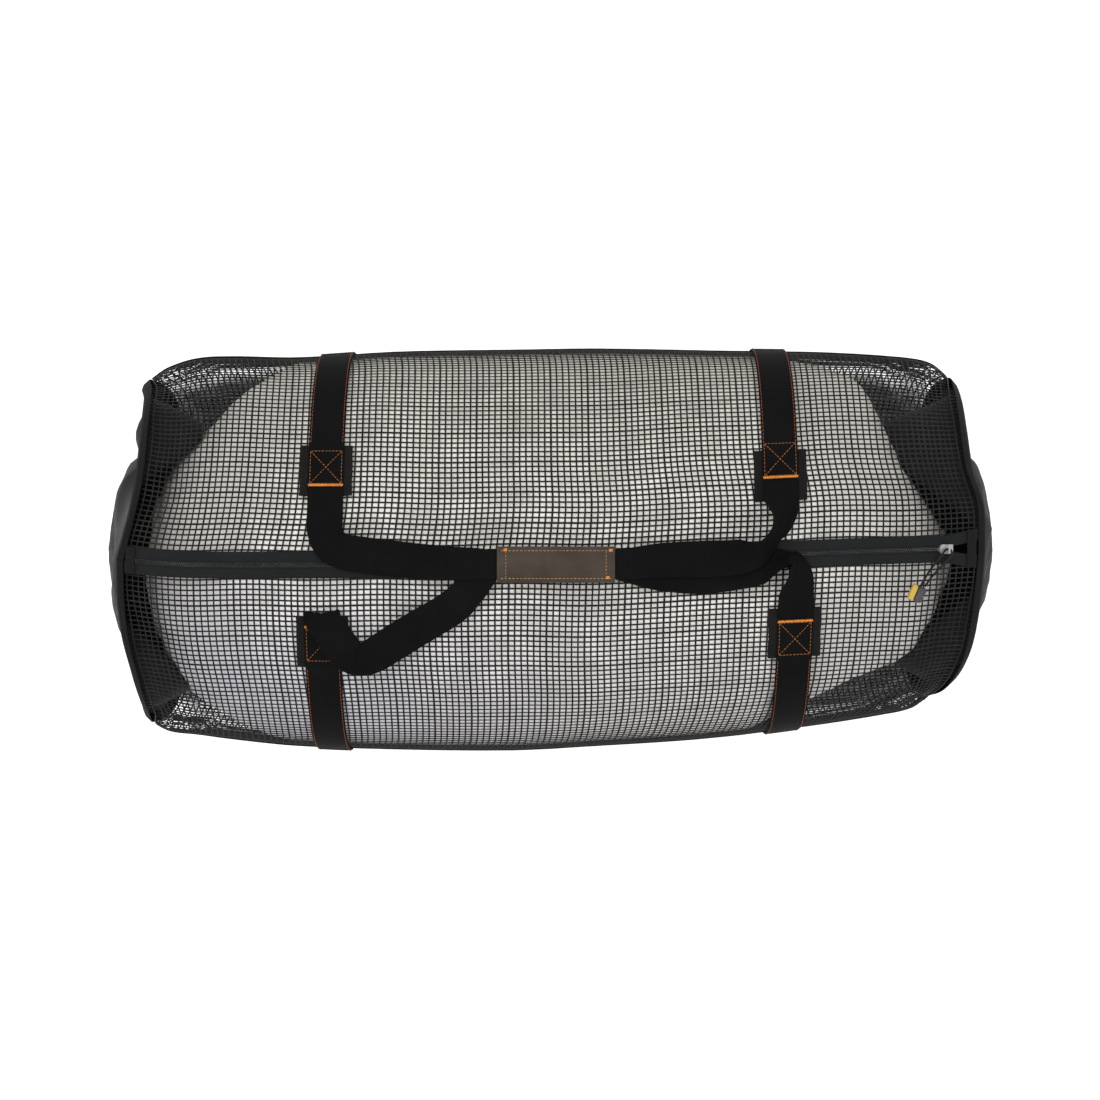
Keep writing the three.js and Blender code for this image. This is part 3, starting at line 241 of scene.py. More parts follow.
def smooth(rows, column, at):
    ats, values = rows["at"], rows[column]
    last = len(ats) - 1
    place = np.clip(at, ats[0], ats[last])
    k = np.searchsorted(ats[1:last], place, side="left")
    before = np.maximum(np.arange(last + 1) - 1, 0)
    after = np.minimum(np.arange(last + 1) + 1, last)
    slopes = (values[after] - values[before]) / (ats[after] - ats[before])
    span = ats[k + 1] - ats[k]
    t = (place - ats[k]) / span
    rise = 3 * t * t - 2 * t * t * t
    pulls = t * (1 - t) * (1 - t) * span * slopes[k] + t * t * (t - 1) * span * slopes[k + 1]
    return lerp(values[k], values[k + 1], rise) + pulls


def by_side(rows, side, at, back="back", front="front"):
    return np.where(side > 0, smooth(rows, back, at), smooth(rows, front, at))


def off_axis(vectors, axes):
    """Unit vectors at right angles to the axes, as near as can be to the given ones."""
    return unit(vectors - (vectors * axes).sum(axis=1)[:, None] * axes)


def unit(vectors):
    return vectors / np.maximum(np.linalg.norm(vectors, axis=-1, keepdims=True), 1e-12)


def grid_of(*values):
    """Values of each point of a grid, side by side."""
    return np.stack(np.broadcast_arrays(*values), axis=-1)


def run_along(line):
    """How far each point of a line lies from its start, along the line."""
    return np.concatenate([[0], np.cumsum(np.linalg.norm(np.diff(line, axis=0), axis=1))])


def crowded(count):
    """Places from -1 to 1, closer together at both ends."""
    return np.sin(np.linspace(-math.pi / 2, math.pi / 2, count))


def section(station, side):
    """The half cross-sections at stations: y, z and the length run, one row of samples each."""
    station = np.clip(station, -1, 1)
    zip_y = smooth(STATIONS, "zip", station) * HALF_WIDTH
    reach = by_side(STATIONS, side, station) * HALF_WIDTH - side * zip_y
    crown = (smooth(STATIONS, "crown", station) * BAG_HEIGHT)[:, None]
    seam = (smooth(STATIONS, "seam", station) * SEAM_HEIGHT)[:, None]
    floor = (FLOOR_LIFT + smooth(STATIONS, "lift", station) * CORNER_LIFT)[:, None]
    y = zip_y[:, None] + (side * reach)[:, None] * OUT_SHARE
    upper = seam + (crown - seam) * RISE_SHARE
    lower = np.maximum(floor, seam - (seam - floor + FLAT_DEPTH) * RISE_SHARE)
    z = np.where(IS_UPPER, upper, lower)
    steps = np.hypot(np.diff(y, axis=1), np.diff(z, axis=1))
    run = np.concatenate([np.zeros((len(station), 1)), np.cumsum(steps, axis=1)], axis=1)
    return y, z, run


def girth_side(girth):
    turned = np.mod(girth, 2)
    side = np.where(turned <= 1, 1, -1)
    return side, np.where(turned <= 1, turned, 2 - turned)


def end_reach(girth):
    side, share = girth_side(girth)
    left = by_side(END_SEAMS, side, share, "leftBack", "leftFront")
    right = by_side(END_SEAMS, side, share, "rightBack", "rightFront")
    return -left * HALF_LENGTH, right * HALF_LENGTH


def skin_point(station, girth):
    """Points of the bag's outer surface, for arrays of stations and girth places."""
    station, girth = np.broadcast_arrays(np.asarray(station, float), np.asarray(girth, float))
    shape = station.shape
    stations, girths = station.ravel(), girth.ravel()
    parts = []
    for start in range(0, len(stations), CHUNK):
        s, g = stations[start:start + CHUNK], girths[start:start + CHUNK]
        side, share = girth_side(g)
        y, z, run = section(s, side)
        target = share * run[:, -1]
        k = np.clip((run < target[:, None]).sum(axis=1), 1, SAMPLES)
        row = np.arange(len(s))
        t = (target - run[row, k - 1]) / (run[row, k] - run[row, k - 1])
        left, right = end_reach(g)
        x = lerp(left, right, (s + 1) / 2)
        parts.append(grid_of(x, lerp(y[row, k - 1], y[row, k], t), lerp(z[row, k - 1], z[row, k], t)))
    return np.concatenate(parts).reshape(*shape, 3)


STATION_STEP = 0.004
GIRTH_STEP = 0.006


def skin_normal(station, girth):
    along = skin_point(station + STATION_STEP, girth) - skin_point(station - STATION_STEP, girth)
    around = skin_point(station, girth + GIRTH_STEP) - skin_point(station, girth - GIRTH_STEP)
    return unit(np.cross(along, around))


def on_skin(station, girth, height):
    height = np.asarray(height, float)
    return skin_point(station, girth) + skin_normal(station, girth) * height[..., None]


def station_at(x, girth):
    left, right = end_reach(girth)
    return 2 * (x - left) / (right - left) - 1


def girth_of(side, share):
    return np.where(np.asarray(side) > 0, share, 2 - share)


def half_girth(station, side):
    """The length of one side's section at stations, and the share of it at the side seam."""
    station = np.atleast_1d(np.asarray(station, float))
    run = section(station, np.full(len(station), side))[2]
    return run[:, -1], run[:, SAMPLES // 2] / run[:, -1]


def girth_at_distance(x, side, distance):
    x = np.atleast_1d(np.asarray(x, float))
    length = half_girth(station_at(x, girth_of(side, 0.0)), side)[0]
    return girth_of(side, distance / length)


HALVINGS = 26
PLAN_SHARE = 0.47


def place_below(x, y):
    x, y = np.asarray(x, float), np.asarray(y, float)
    side = np.where(y >= smooth(STATIONS, "zip", station_at(x, np.zeros_like(x))) * HALF_WIDTH, 1, -1)
    low, high = np.zeros_like(x), np.full_like(x, PLAN_SHARE)
    for _ in range(HALVINGS):
        middle = (low + high) / 2
        girth = girth_of(side, middle)
        reached = side * skin_point(station_at(x, girth), girth)[..., 1]
        short = reached < side * y
        low, high = np.where(short, middle, low), np.where(short, high, middle)
    girth = girth_of(side, (low + high) / 2)
    return station_at(x, girth), girth


def above_plan(x, y, height):
    station, girth = place_below(x, y)
    return on_skin(station, girth, height)


def catmull(points, at):
    """Points on a centripetal curve through the given ones, at places from 0 to 1."""
    points = np.asarray(points, float)
    last = len(points) - 1
    place = np.clip(at, 0, 1) * last
    k = np.minimum(np.floor(place).astype(int), last - 1)
    t = (place - k)[:, None]
    padded = np.concatenate([[2 * points[0] - points[1]], points, [2 * points[-1] - points[-2]]])
    p0, p1, p2, p3 = (padded[k + i] for i in range(4))
    d0, d1, d2 = (np.sqrt(np.linalg.norm(b - a, axis=1, keepdims=True))
                  for a, b in ((p0, p1), (p1, p2), (p2, p3)))
    m1 = ((p1 - p0) / d0 - (p2 - p0) / (d0 + d1) + (p2 - p1) / d1) * d1
    m2 = ((p2 - p1) / d1 - (p3 - p1) / (d1 + d2) + (p3 - p2) / d2) * d1
    c2 = -3 * p1 + 3 * p2 - 2 * m1 - m2
    c3 = 2 * p1 - 2 * p2 + m1 + m2
    return p1 + m1 * t + c2 * t * t + c3 * t * t * t


def catmull_tangent(points, at):
    step = 1e-4
    return unit(catmull(points, at + step) - catmull(points, at - step))


# Camera, straight above the bag
CAMERA_HEIGHT = 2.45
SHARP_PLANE = 2.325
VIEW_WIDTH = 1.1363
SENSOR = 36.0
camera_data = bpy.data.cameras.new("camera")
camera_data.sensor_width = SENSOR
camera_data.lens = SENSOR * SHARP_PLANE / VIEW_WIDTH
camera_data.shift_y = -0.0005
camera = bpy.data.objects.new("camera", camera_data)
camera.location = (0, 0, CAMERA_HEIGHT)
bpy.context.scene.collection.objects.link(camera)
bpy.context.scene.camera = camera

# Random waves: the seed, how many there are, and their shortest and longest length
WAVES = {
    "net_slack": (3, 6, 60, 160),
    "net_wander": (5, 5, 70, 240),
    "large_dents": (21, 9, 35, 120),
    "small_dents": (22, 7, 18, 60),
    "end_folds": (34, 5, 0.5, 1.4),
    "end_creases": (36, 6, 0.16, 0.5),
    "end_binding": (41, 4, 30, 90),
    "side_wobble": (51, 5, 40, 160),
    "side_lumps": (57, 5, 12, 50),
    "zip_lumps": (61, 5, 14, 60),
    "patch_wobble": (71, 4, 0.6, 1.6),
    "handle_cup": (82, 4, 60, 170),
    "wrap_dents": (91, 5, 25, 80),
}


def ripples(kind, step=0):
    """A smooth random field over two coordinates, within -1 to 1. step: what is added to its seed."""
    seed, count, low, high = WAVES[kind]
    source = np.random.default_rng(seed + step)
    waves = []
    for _ in range(count):
        length = source.uniform(low, high)
        heading = source.uniform(0, math.pi)
        waves.append((math.cos(heading) / length, math.sin(heading) / length, source.uniform(0, 1)))

    def field(u, v):
        total = 0
        for a, b, phase in waves:
            total = total + np.sin(2 * math.pi * (a * u + b * v + phase))
        return total / count
    return field


# Mesh making
def make_object(name, points, faces, material, uv=None, fans=None):
    """A mesh object from points in millimetres, riding on the bag. faces: quads. uv: a place per
    quad's corner. fans: triangles that close its ends."""
    points = np.asarray(points, float)
    corners = points[faces]
    middles = corners.mean(axis=1)
    diagonals = np.cross(corners[:, 2] - corners[:, 0], corners[:, -1] - corners[:, 1])
    fans = np.zeros((0, 3), int) if fans is None else fans
    if (middles * diagonals).sum() < 0:
        faces, fans = faces[:, ::-1], fans[:, ::-1]
        uv = None if uv is None else uv[:, ::-1]
    mesh = bpy.data.meshes.new(name)
    mesh.from_pydata((points * MM).tolist(), [], faces.tolist() + fans.tolist())
    if uv is not None:
        layer = mesh.uv_layers.new(name="weave")
        layer.data.foreach_set("uv", np.ascontiguousarray(uv, np.float32).ravel())
    mesh.polygons.foreach_set("use_smooth", [True] * len(mesh.polygons))
    mesh.materials.append(material)
    mesh.update()
    piece = bpy.data.objects.new(name, mesh)
    bpy.context.scene.collection.objects.link(piece)
    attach(piece, "root")
    return piece


def grid_faces(rows, columns, close_rows=False, close_columns=False):
    i = np.arange(rows if close_rows else rows - 1)
    j = np.arange(columns if close_columns else columns - 1)
    a, b = np.meshgrid(i, j, indexing="ij")
    a, b = a.ravel(), b.ravel()
    c, d = (a + 1) % rows, (b + 1) % columns
    return np.stack([a * columns + b, c * columns + b, c * columns + d, a * columns + d], axis=1)


def shell(name, top, bottom, material, slot, uv, close_columns=False, close_rows=False):
    """A closed sheet between two grids of points. uv: grid of places in millimetres for the weave."""
    rows, columns = top.shape[:2]
    count = rows * columns
    faces = grid_faces(rows, columns, close_rows, close_columns)
    sides = []
    if not close_rows:
        j = np.arange(columns if close_columns else columns - 1)
        k = (j + 1) % columns
        last = (rows - 1) * columns
        sides.append(np.stack([j, k, count + k, count + j], axis=1))
        sides.append(np.stack([last + k, last + j, count + last + j, count + last + k], axis=1))
    if not close_columns:
        i = np.arange(rows if close_rows else rows - 1)
        k = (i + 1) % rows
        end = columns - 1
        sides.append(np.stack([k * columns, i * columns, count + i * columns, count + k * columns], axis=1))
        sides.append(np.stack([i * columns + end, k * columns + end,
                               count + k * columns + end, count + i * columns + end], axis=1))
    all_faces = np.concatenate([faces, (faces + count)[:, ::-1], *sides])
    places = np.concatenate([uv.reshape(-1, 2)] * 2)
    points = np.concatenate([top.reshape(-1, 3), bottom.reshape(-1, 3)])
    return make_object(name, points, all_faces, material, places[all_faces] * MM)


def capped(name, rings, tips, material):
    """A closed body of rings of corners, with a fan of triangles to a tip at each end."""
    count, corners = rings.shape[:2]
    j = np.arange(corners)
    k = (j + 1) % corners
    first_tip, last = count * corners, (count - 1) * corners
    near = np.stack([np.full(corners, first_tip), k, j], axis=1)
    far = np.stack([np.full(corners, first_tip + 1), last + j, last + k], axis=1)
    points = np.concatenate([rings.reshape(-1, 3), tips])
    return make_object(name, points, grid_faces(count, corners, close_columns=True), material,
                       fans=np.concatenate([near, far])[:, ::-1])


def tubes(name, strands, material):
    """Closed tubes in one mesh. Each strand: rings of corners, an array (rings, corners, 3)."""
    points, faces, base = [], [], 0
    for rings in strands:
        count, corners = rings.shape[:2]
        points.append(rings.reshape(-1, 3))
        faces.append(grid_faces(count, corners, close_columns=True)[:, ::-1] + base)
        cap = base + np.arange(corners)
        faces.append(cap[None, :4][:, ::-1])
        faces.append((cap + (count - 1) * corners)[None, :4])
        base += count * corners
    return make_object(name, np.concatenate(points), np.concatenate(faces), material)


# Materials
def nodes_of(name):
    material = bpy.data.materials.new(name)
    material.use_nodes = True
    tree = material.node_tree
    tree.nodes.clear()
    output = tree.nodes.new("ShaderNodeOutputMaterial")
    shader = tree.nodes.new("ShaderNodeBsdfPrincipled")
    tree.links.new(shader.outputs[0], output.inputs["Surface"])
    return material, tree, shader


def node(tree, kind, inputs=None, **settings):
    made = tree.nodes.new(kind)
    for key, value in settings.items():
        setattr(made, key, value)
    for key, value in (inputs or {}).items():
        socket = made.inputs[key]
        if isinstance(value, bpy.types.NodeSocket):
            tree.links.new(value, socket)
        else:
            socket.default_value = value
    return made


def math_node(tree, operation, a, b=0.0):
    return node(tree, "ShaderNodeMath", {0: a, 1: b}, operation=operation).outputs[0]


def blend(tree, first, first_share, second, second_share):
    return math_node(tree, "ADD", math_node(tree, "MULTIPLY", first, first_share),
                     math_node(tree, "MULTIPLY", second, second_share))


def noise(tree, places, scale, detail):
    inputs = {"Vector": places, "Scale": scale, "Detail": detail}
    return node(tree, "ShaderNodeTexNoise", inputs).outputs["Fac"]


def mapped(tree, value, low, high, start=0.0, end=1.0):
    """A value taken from the range low to high into the range start to end."""
    return node(tree, "ShaderNodeMapRange", {"Value": value, "From Min": low, "From Max": high,
                                             "To Min": start, "To Max": end}).outputs["Result"]


def mixed(tree, factor, first, second):
    return node(tree, "ShaderNodeMix", {"Factor": factor, "A": first, "B": second},
                data_type="RGBA").outputs["Result"]


def finish_shader(tree, shader, colour, height, strength, distance, specular):
    """The links and constants that every cloth and plastic here has."""
    bumped = node(tree, "ShaderNodeBump", {"Height": height, "Strength": strength, "Distance": distance})
    tree.links.new(colour, shader.inputs["Base Color"])
    tree.links.new(bumped.outputs[0], shader.inputs["Normal"])
    shader.inputs["Specular IOR Level"].default_value = specular


def ramp(tree, factor, stops):
    made = node(tree, "ShaderNodeValToRGB", {"Fac": factor})
    elements = made.color_ramp.elements
    while len(elements) < len(stops):
        elements.new(0.5)
    for element, (place, colour) in zip(elements, stops):
        element.position = place
        element.color = (*colour, 1)
    return made.outputs["Color"]


NOISE_RANGE = (0.3, 0.7)
THREAD_SHARE = 0.35
RIB_SHARE = 0.15
WEAVE_SHADE = 0.45
SLOW_SHADE = 0.75
FINE_SHADE = 0.2
FINE_BUMP = 0.35
FINE_SCALE = 900.0
DARKEST_SHADE = 0.35
CLOTH_SPREAD = 0.06
PLASTIC_SPREAD = 0.07
THREAD_HEIGHT = 0.0004
GRAIN_HEIGHT = 0.0002
CREASE_HEIGHT = 0.001
CREASE_SCALE = 38.0
WARM_WHITE = (0.82, 0.795, 0.765, 1)
OLIVE_WHITE = (0.62, 0.62, 0.47, 1)
COOL_WHITE = (0.75, 0.74, 0.79, 1)
# Where each tint begins and is full, in metres from the middle of the bag
OLIVE_RANGE = (-0.12, 0.2)
MOST_OLIVE = 0.8
COOL_ALONG = (0.1, -0.3)
COOL_ACROSS = (0.0, -0.12)


def cloth(name, dark, light, pitch, bump, rough, specular, sheen=0.0, patch=0.05):
    """Woven cloth: threads at a pitch in millimetres, with slow changes of shade and rubbed places."""
    material, tree, shader = nodes_of(name)
    coordinates = node(tree, "ShaderNodeTexCoord").outputs["Object"]
    weave_places = node(tree, "ShaderNodeUVMap", uv_map="weave").outputs[0]
    split = node(tree, "ShaderNodeSeparateXYZ", {0: weave_places})
    turns = [math_node(tree, "MULTIPLY", split.outputs[i], 2 * math.pi / (width * MM))
             for i, width in enumerate(pitch)]
    waves = [math_node(tree, "SINE", turn) for turn in turns]
    threads = math_node(tree, "MULTIPLY", *waves)
    weave = math_node(tree, "ADD", blend(tree, threads, THREAD_SHARE, waves[0], RIB_SHARE), 0.5)
    slow = noise(tree, coordinates, 1 / patch, 4.0)
    fine = noise(tree, coordinates, FINE_SCALE, 2.0)
    shade = blend(tree, weave, WEAVE_SHADE, slow, SLOW_SHADE)
    shade = blend(tree, shade, 1.0, fine, FINE_SHADE)
    finish_shader(tree, shader, ramp(tree, shade, [(DARKEST_SHADE, dark), (1.0, light)]),
                  blend(tree, weave, 1.0, fine, FINE_BUMP), bump, THREAD_HEIGHT, specular)
    tree.links.new(mapped(tree, slow, *NOISE_RANGE, rough - CLOTH_SPREAD, rough + CLOTH_SPREAD),
                   shader.inputs["Roughness"])
    shader.inputs["Sheen Weight"].default_value = sheen
    shader.inputs["Sheen Roughness"].default_value = 0.4
    return material


def plain(name, dark, light, rough, specular=0.4, metal=0.0, scale=60.0, bump=0.1):
    """Moulded plastic, painted metal, thread or a coated strand: slow mottling and a fine skin."""
    material, tree, shader = nodes_of(name)
    coordinates = node(tree, "ShaderNodeTexCoord").outputs["Object"]
    slow = noise(tree, coordinates, scale, 5.0)
    finish_shader(tree, shader, ramp(tree, slow, list(zip(NOISE_RANGE, (dark, light)))),
                  noise(tree, coordinates, scale * 25, 3.0), bump, GRAIN_HEIGHT, specular)
    tree.links.new(mapped(tree, slow, *NOISE_RANGE, rough - PLASTIC_SPREAD, rough + PLASTIC_SPREAD),
                   shader.inputs["Roughness"])
    shader.inputs["Metallic"].default_value = metal
    return material


def stuffing_cloth():
    """Pale soft wrapping: warm white, olive in places towards the back and cool at the front left."""
    material, tree, shader = nodes_of("stuffing_wrap")
    coordinates = node(tree, "ShaderNodeTexCoord").outputs["Object"]
    split = node(tree, "ShaderNodeSeparateXYZ", {0: coordinates})
    towards_back = mapped(tree, split.outputs[1], *OLIVE_RANGE, 0.0, MOST_OLIVE)
    towards_left = mapped(tree, split.outputs[0], *COOL_ALONG)
    towards_front = mapped(tree, split.outputs[1], *COOL_ACROSS)
    olive = math_node(tree, "MULTIPLY", towards_back, noise(tree, coordinates, 3.0, 3.0))
    cool = math_node(tree, "MULTIPLY", towards_left, towards_front)
    colour = mixed(tree, cool, mixed(tree, olive, WARM_WHITE, OLIVE_WHITE), COOL_WHITE)
    creases = node(tree, "ShaderNodeTexVoronoi", {"Vector": coordinates, "Scale": CREASE_SCALE},
                   feature="DISTANCE_TO_EDGE")
    finish_shader(tree, shader, colour, mapped(tree, creases.outputs["Distance"], 0.0, 0.12), 0.35,
                  CREASE_HEIGHT, 0.2)
    shader.inputs["Roughness"].default_value = 0.8
    return material


net_coat = plain("net_coat", (0.009, 0.009, 0.0086), (0.021, 0.021, 0.02), 0.55, 0.12, scale=25.0)
coated = cloth("coated_fabric", (0.004, 0.004, 0.0048), (0.015, 0.015, 0.017), (1.0, 1.0), 0.25, 0.62, 0.12,
               patch=0.12)
binding = cloth("binding_tape", (0.003, 0.003, 0.003), (0.012, 0.012, 0.012), (1.6, 0.8), 0.5, 0.8, 0.08)
zip_cloth = cloth("zip_tape", (0.003, 0.0035, 0.0037), (0.012, 0.014, 0.0145), (1.0, 0.7), 0.4, 0.75, 0.12)
webbing = cloth("webbing", (0.0015, 0.0014, 0.0014), (0.0065, 0.006, 0.006), (2.2, 1.5), 0.9, 0.8, 0.045)
patch_cloth = cloth("patch_fabric", (0.003, 0.0028, 0.0027), (0.012, 0.011, 0.0105), (1.0, 1.0), 0.5, 0.8,
                    0.08, patch=0.04)
wrap_cloth = cloth("wrap_fabric", (0.022, 0.016, 0.0125), (0.066, 0.05, 0.04), (1.3, 1.3), 0.6, 0.85, 0.15,
                   sheen=0.05, patch=0.02)
rust_thread = plain("rust_thread", (0.16, 0.035, 0.012), (0.3, 0.07, 0.02), 0.7, 0.2, scale=300.0)
orange_thread = plain("orange_thread", (0.42, 0.13, 0.02), (0.75, 0.27, 0.05), 0.65, 0.2, scale=300.0)
tan_thread = plain("tan_thread", (0.22, 0.12, 0.055), (0.42, 0.25, 0.12), 0.65, 0.2, scale=300.0)
dull_thread = plain("dull_thread", (0.17, 0.06, 0.018), (0.36, 0.15, 0.05), 0.7, 0.15, scale=300.0)
black_thread = plain("black_thread", (0.006, 0.006, 0.006), (0.016, 0.016, 0.016), 0.7, 0.2, scale=300.0)
coil_plastic = plain("coil_plastic", (0.006, 0.006, 0.006), (0.015, 0.015, 0.015), 0.38, 0.4, scale=80.0)
slider_paint = plain("slider_paint", (0.25, 0.25, 0.25), (0.5, 0.5, 0.49), 0.34, 0.5, metal=0.6)
cord_braid = plain("cord_braid", (0.004, 0.004, 0.004), (0.014, 0.014, 0.014), 0.7, 0.2, scale=400.0,
                   bump=0.4)
toggle_plastic = plain("toggle_plastic", (0.018, 0.018, 0.02), (0.036, 0.036, 0.039), 0.45, 0.4)
band_plastic = plain("band_plastic", (0.32, 0.2, 0.03), (0.52, 0.35, 0.06), 0.5, 0.3)
stuffing_material = stuffing_cloth()

# Where the net, the binding's flaps and the zip end
END_SHARE = 0.9
NET_END = 1 - 2.5 / HALF_LENGTH
FLAP_END = 1 - (END_BINDING_FLAP + GAP) / (HALF_LENGTH * END_SHARE) - 0.002
zip_start = skin_point(-FLAP_END, 0.0)[0]
zip_finish = skin_point(FLAP_END, 0.0)[0]
slider_place = zip_finish - ZIP_MOUTH_LENGTH
seat_y = skin_point(station_at(slider_place, np.array(0.0)), 0.0)[1]


def mouth_half(x):
    opened = np.clip((x - slider_place) / ZIP_MOUTH_LENGTH, 0, 1)
    return 1 + (ZIP_MOUTH_WIDTH / 2 - 1) * opened


# The pull cord, its toggle and the toggle's band
def pull_place(x, y, lift):
    return above_plan(np.array(slider_place + x), np.array(seat_y + y), np.array(lift))


BAR_CORNERS = 28
BAR_RINGS = 19
BAR_SQUARENESS = 0.6
BAR_WAIST_REACH = 0.3
CORD_POINTS = 61
TOGGLE_WAIST = 0.12


def rounded_bar(name, middle, forward, sideways, normal, sizes, material, waist=0.0):
    """A bar with rounded edges and ends, pinched at its waist."""
    length, width, thick = sizes
    turns = np.arange(BAR_CORNERS) * 2 * math.pi / BAR_CORNERS
    across = np.sign(np.cos(turns)) * np.abs(np.cos(turns)) ** BAR_SQUARENESS
    up = np.sign(np.sin(turns)) * np.abs(np.sin(turns)) ** BAR_SQUARENESS
    outline = across[:, None] * sideways * width / 2 + up[:, None] * normal * thick / 2
    rings = []
    for share in crowded(BAR_RINGS):
        pinch = (1 - abs(share) ** 6) ** 0.4 * (1 - waist * math.exp(-(share / BAR_WAIST_REACH) ** 2))
        rings.append(middle + forward * share * length / 2 + pinch * outline)
    tips = np.array([middle - forward * length / 2, middle + forward * length / 2])
    return capped(name, np.array(rings)[1:-1], tips, material)


def clean(piece, distance=1e-6):
    """Merges the doubled corners of a mesh and drops its empty faces."""
    work = bmesh.new()
    work.from_mesh(piece.data)
    bmesh.ops.remove_doubles(work, verts=work.verts, dist=distance)
    bmesh.ops.dissolve_degenerate(work, edges=work.edges, dist=distance)
    bmesh.ops.recalc_face_normals(work, faces=work.faces)
    work.to_mesh(piece.data)
    work.free()


def make_pull():
    route = np.array([pull_place(*row) for row in CORD_ROUTE])
    line = catmull(route, np.linspace(0, 1, CORD_POINTS)) * MM
    curve = bpy.data.curves.new("pull_cord_loop", "CURVE")
    curve.dimensions = "3D"
    curve.bevel_depth = CORD_DIAMETER / 2 * MM
    curve.bevel_resolution = 3
    curve.use_fill_caps = True
    spline = curve.splines.new("POLY")
    spline.points.add(len(line) - 1)
    spline.points.foreach_set("co", np.concatenate([line, np.ones((len(line), 1))], axis=1).ravel())
    curve.materials.append(cord_braid)
    cord = bpy.data.objects.new("pull_cord_loop", curve)
    bpy.context.scene.collection.objects.link(cord)
    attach(cord, "root")
    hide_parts("pull_cord")
    middle = pull_place(*TOGGLE_FROM_SLIDER)
    station, girth = place_below(middle[0], middle[1])
    normal = skin_normal(station, girth)
    heading = np.array([math.cos(TOGGLE_HEADING), math.sin(TOGGLE_HEADING), 0])
    forward = unit(heading - heading.dot(normal) * normal)
    sideways = np.cross(normal, forward)
    sizes = (TOGGLE_LENGTH, TOGGLE_WIDTH, TOGGLE_THICKNESS)
    toggle = rounded_bar("pull_toggle_grip", middle, forward, sideways, normal, sizes, toggle_plastic,
                         TOGGLE_WAIST)
    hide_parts("pull_toggle")
    offset = -(TOGGLE_WIDTH + BAND_WIDTH) / 2 - GAP
    band = rounded_bar("toggle_band_strip", middle + sideways * offset, forward, sideways, normal,
                       (TOGGLE_LENGTH, BAND_WIDTH, TOGGLE_THICKNESS), band_plastic)
    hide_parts("toggle_band")


make_pull()


# The net
PITCH_ALONG = 6.1
PITCH_ROUND = 5.15
STRAND_WIDTH = 1.62
STRAND_HEIGHT = 1.22
HEAVY_EVERY = 6
HEAVY_SHARE = 1.2
NET_EDGE = 9.0
WANDER = 1.5
EVEN_SLACK = 0.3
EVEN_ALONG = 300.0
EVEN_ROUND = 500.0
CORNER_SLACK = 9.0
SLACK_OFF_ZIP = (0.05, 0.14)
SLACK_SEAM = 0.47
SLACK_OFF_SEAM = (0.03, 0.08)
SLACK_START = (0.84, 0.93)
SLACK_END = (0.96, 0.995)
CROSSING_DEPTH = 0.25
DEEPEST = 300.0
FINE_PLACES = 241
LEAST_PLACES = 4
LEAST_POINTS = 8
# Each part of the net: whether it lies below the seam, the points of a strand round the bag, the step of
# one along the bag, how far the first of those lies from the zip or the middle, and the sheet's flat length
NET_PARTS = {
    "top": (False, 26, 11.0, NET_EDGE, 0.82),
    "bottom": (True, 22, 14.0, PITCH_ROUND / 2, 0.8),
}
slack = ripples("net_slack")
wander = ripples("net_wander")


def net_drop(station, girth):
    """How far the net hangs inside the bag's outer surface: slack over the empty corners."""
    share = girth_side(girth)[1]
    off_zip = smoothstep(share, *SLACK_OFF_ZIP)
    off_seam = smoothstep(np.abs(share - SLACK_SEAM), *SLACK_OFF_SEAM)
    empty = smoothstep(np.abs(station), *SLACK_START) * (1 - smoothstep(np.abs(station), *SLACK_END))
    folds = 0.5 + 0.5 * slack(station * HALF_LENGTH, girth * GIRTH_LENGTH)
    even = 0.5 + 0.5 * slack(station * EVEN_ALONG, girth * EVEN_ROUND)
    return EVEN_SLACK * even + CORNER_SLACK * folds * empty * off_zip * off_seam


def net_strand(station, girth, width, depth):
    """One strand of the net: a flat four-sided tube under the bag's outer surface."""
    point = skin_point(station, girth)
    normal = skin_normal(station, girth)
    point = point - normal * (net_drop(station, girth) + depth)[:, None]
    along = unit(np.gradient(point, axis=0))
    across = unit(np.cross(normal, along))
    point = point + across * (WANDER * wander(point[:, 0], point[:, 1] + point[:, 2]))[:, None]
    half = (width / 2) * across
    tall = STRAND_HEIGHT * normal
    return np.stack([point, point + half - tall / 2, point - tall, point - half - tall / 2], axis=1)


def strand_width(k):
    return STRAND_WIDTH * (HEAVY_SHARE if k % HEAVY_EVERY == 0 else 1.0)


def crosswise(side, lower, stations, count):
    """Strands round one side of the bag, above or below its seam, one at each station."""
    strands = []
    for k, station in enumerate(stations):
        length, seam = (values[0] for values in half_girth(station, side))
        near, far = (seam, 1.0) if lower else (NET_EDGE / length, seam)
        girth = np.linspace(float(girth_of(side, near)), float(girth_of(side, far)), count)
        strands.append(net_strand(np.full(count, station), girth, strand_width(k), CROSSING_DEPTH))
    return strands


def lengthwise(side, lower, distances, step):
    """Strands along the bag at distances from the zip, or from the middle of the bottom."""
    fine = np.linspace(-NET_END, NET_END, FINE_PLACES)
    length, seam = half_girth(fine, side)
    room = length * (1 - seam) if lower else length * seam
    strands = []
    for k, distance in enumerate(distances):
        inside = fine[room > distance + 1]
        if len(inside) < LEAST_PLACES:
            continue
        run = (inside[-1] - inside[0]) * HALF_LENGTH * END_SHARE
        station = np.linspace(inside[0], inside[-1], max(LEAST_POINTS, int(run / step)))
        whole = half_girth(station, side)[0]
        share = 1 - distance / whole if lower else distance / whole
        strands.append(net_strand(station, girth_of(side, share), strand_width(k), 0.0))
    return strands


